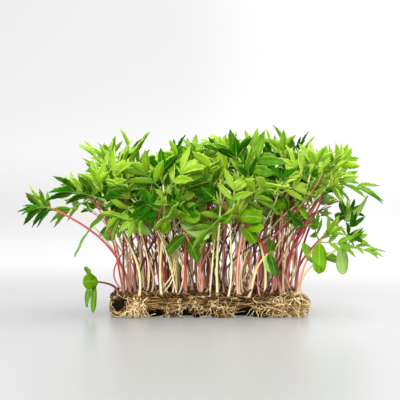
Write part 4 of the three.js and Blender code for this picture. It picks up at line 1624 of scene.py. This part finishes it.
class MICROGREENS_OT_leaves(bpy.types.Operator):
    """Make every seedling's seed leaves, pinnate leaves and bud"""

    bl_idname = "microgreens.leaves"
    bl_label = "Make leaves"

    def execute(self, context):
        settings = context.scene.microgreens_leaves
        materials = (
            leaf_material("leaf_top", settings, False),
            leaf_material("leaf_underside", settings, True),
        )
        seed_materials = (
            seed_leaf_material("seed_leaf_top", settings, False),
            seed_leaf_material("seed_leaf_underside", settings, True),
        )
        wall = settings.thickness
        for number, seedling in enumerate(LAYOUT + INFILL_SEEDLINGS):
            solid = number < len(LAYOUT)
            name = node_name(number) if solid else infill_name(number - len(LAYOUT))
            nodes = [name] if solid else []
            true_leaves = [leaf for leaf in seedling.leaves if leaf.leaflet_pairs]
            seed_leaves = [leaf for leaf in seedling.leaves if not leaf.leaflet_pairs]
            slot = "leaf" if seedling.true_leaf_pairs == 2 else "young_leaf"
            made = leaf_piece(name + "_leaves", number, true_leaves, seedling, materials, wall)
            finish_piece(made, slot, *nodes)
            if seed_leaves:
                name += "_seed_leaves"
                wall_here = wall * SEED_LEAF_WALL
                made = leaf_piece(name, number, seed_leaves, None, seed_materials, wall_here)
                finish_piece(made, "seed_leaf", *nodes)
        return {"FINISHED"}


class MICROGREENS_OT_pad(bpy.types.Operator):
    """Make the fibre pad, the fibres along its sides and the litter on its top"""

    bl_idname = "microgreens.pad"
    bl_label = "Make pad"

    def execute(self, context):
        settings = context.scene.microgreens_mat
        colours = (settings.peat_brown, settings.coir_brown, settings.straw)
        # The pad's core is painted near black low down as painted shade
        core = fibre_material("peat_core", *colours[:2], 1500, 0.0006, True)
        finish_piece(pad_piece(core), "pad", "fibre_pad")
        chance = random.Random(SEED + 5)
        strands = strand_materials("coir", *colours, settings.pale_straw)
        count = settings.side_fibre_count
        routes = side_fibres(count, chance, spread=(0.12, 0.5), radius=(0.1, 0.26), slope=3.0)
        picks = strand_picks(chance, routes, (3, 4, 3))
        finish_piece(tubes("side_fibres", routes, 4, strands, picks), "pad")
        litter = litter_routes(chance, settings.litter_count, radius=(0.1, 0.3), lift=(0.1, 2.2))
        litter += litter_routes(
            chance, settings.front_litter_count, radius=(0.1, 0.26), lift=(0.6, 3.4), margin=3.0,
            front=FRONT_LITTER_Y,
        )
        picks = strand_picks(chance, litter, (4, 4, 2))
        finish_piece(tubes("top_litter", litter, 4, strands, picks), "pad")
        return {"FINISHED"}


class MICROGREENS_OT_roots(bpy.types.Operator):
    """Make the pale roots that wrap the pad and gather in tufts at its corners"""

    bl_idname = "microgreens.roots"
    bl_label = "Make roots"

    def execute(self, context):
        settings = context.scene.microgreens_mat
        colours = (settings.coir_brown, settings.straw, settings.pale_straw, settings.root_cream)
        strands = strand_materials("root", *colours)
        chance = random.Random(SEED + 9)
        web = hanging_roots(chance, settings.hanging_root_count)
        count = settings.side_root_count
        web += side_fibres(count, chance, spread=(0.1, 0.45), radius=(0.11, 0.24), slope=5.0)
        picks = strand_picks(chance, web, (1, 3, 6))
        finish_piece(tubes("root_net", web, 4, strands, picks), "root", "root_web")
        tufts = tuft_roots(chance)
        picks = strand_picks(chance, tufts, (2, 2, 7))
        finish_piece(tubes("root_tufts", tufts, 4, strands, picks), "root")
        return {"FINISHED"}


class MICROGREENS_OT_husks(bpy.types.Operator):
    """Give the spent seed coats their dark ribbed finish"""

    bl_idname = "microgreens.husks"
    bl_label = "Finish husks"

    def execute(self, context):
        material, tree, shader = new_material("seed_coat")
        grain = object_noise(tree, 1800, detail=3.0)
        colour = mix_colour(tree, grain, rgba(COAT_BLACK), rgba(COAT_BROWN))
        tree.links.new(colour, shader.inputs["Base Color"])
        shader.inputs["Roughness"].default_value = 0.5
        bump(tree, shader, grain, 0.0001, 0.6)
        for name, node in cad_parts.items():
            if name.startswith("seed_husk"):
                node.data.materials.clear()
                node.data.materials.append(material)
        finish_piece(loose_coats(material), "husk")
        return {"FINISHED"}


OPERATORS = (
    MICROGREENS_OT_stage,
    MICROGREENS_OT_stems,
    MICROGREENS_OT_leaves,
    MICROGREENS_OT_pad,
    MICROGREENS_OT_roots,
    MICROGREENS_OT_husks,
)
SETTINGS = {
    "microgreens_leaves": LeafSettings,
    "microgreens_stems": StemSettings,
    "microgreens_mat": MatSettings,
    "microgreens_stage": StageSettings,
}


class MICROGREENS_PT_sidebar(bpy.types.Panel):
    """Lists the steps and the settings of the microgreens mat"""

    bl_idname = "MICROGREENS_PT_sidebar"
    bl_label = "Microgreens mat"
    bl_space_type = "VIEW_3D"
    bl_region_type = "UI"
    bl_category = "Microgreens"

    def draw(self, context):
        for operator in OPERATORS:
            self.layout.operator(operator.bl_idname)
        for name, group in SETTINGS.items():
            box = self.layout.box()
            for key in group.__annotations__:
                box.prop(getattr(context.scene, name), key)


def register():
    for group in SETTINGS.values():
        bpy.utils.register_class(group)
    for name, group in SETTINGS.items():
        setattr(bpy.types.Scene, name, bpy.props.PointerProperty(type=group))
    for operator in (*OPERATORS, MICROGREENS_PT_sidebar):
        bpy.utils.register_class(operator)


def unregister():
    for operator in (*OPERATORS, MICROGREENS_PT_sidebar):
        bpy.utils.unregister_class(operator)
    for name, group in SETTINGS.items():
        delattr(bpy.types.Scene, name)
        bpy.utils.unregister_class(group)


def main():
    register()
    for operator in OPERATORS:
        group, action = operator.bl_idname.split(".")
        getattr(getattr(bpy.ops, group), action)()
    bounds = {"solids": SOLID_BOX, "dressed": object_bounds()}
    plain = {name: [list(corner) for corner in box] for name, box in bounds.items()}


if __name__ == "__main__":
    main()
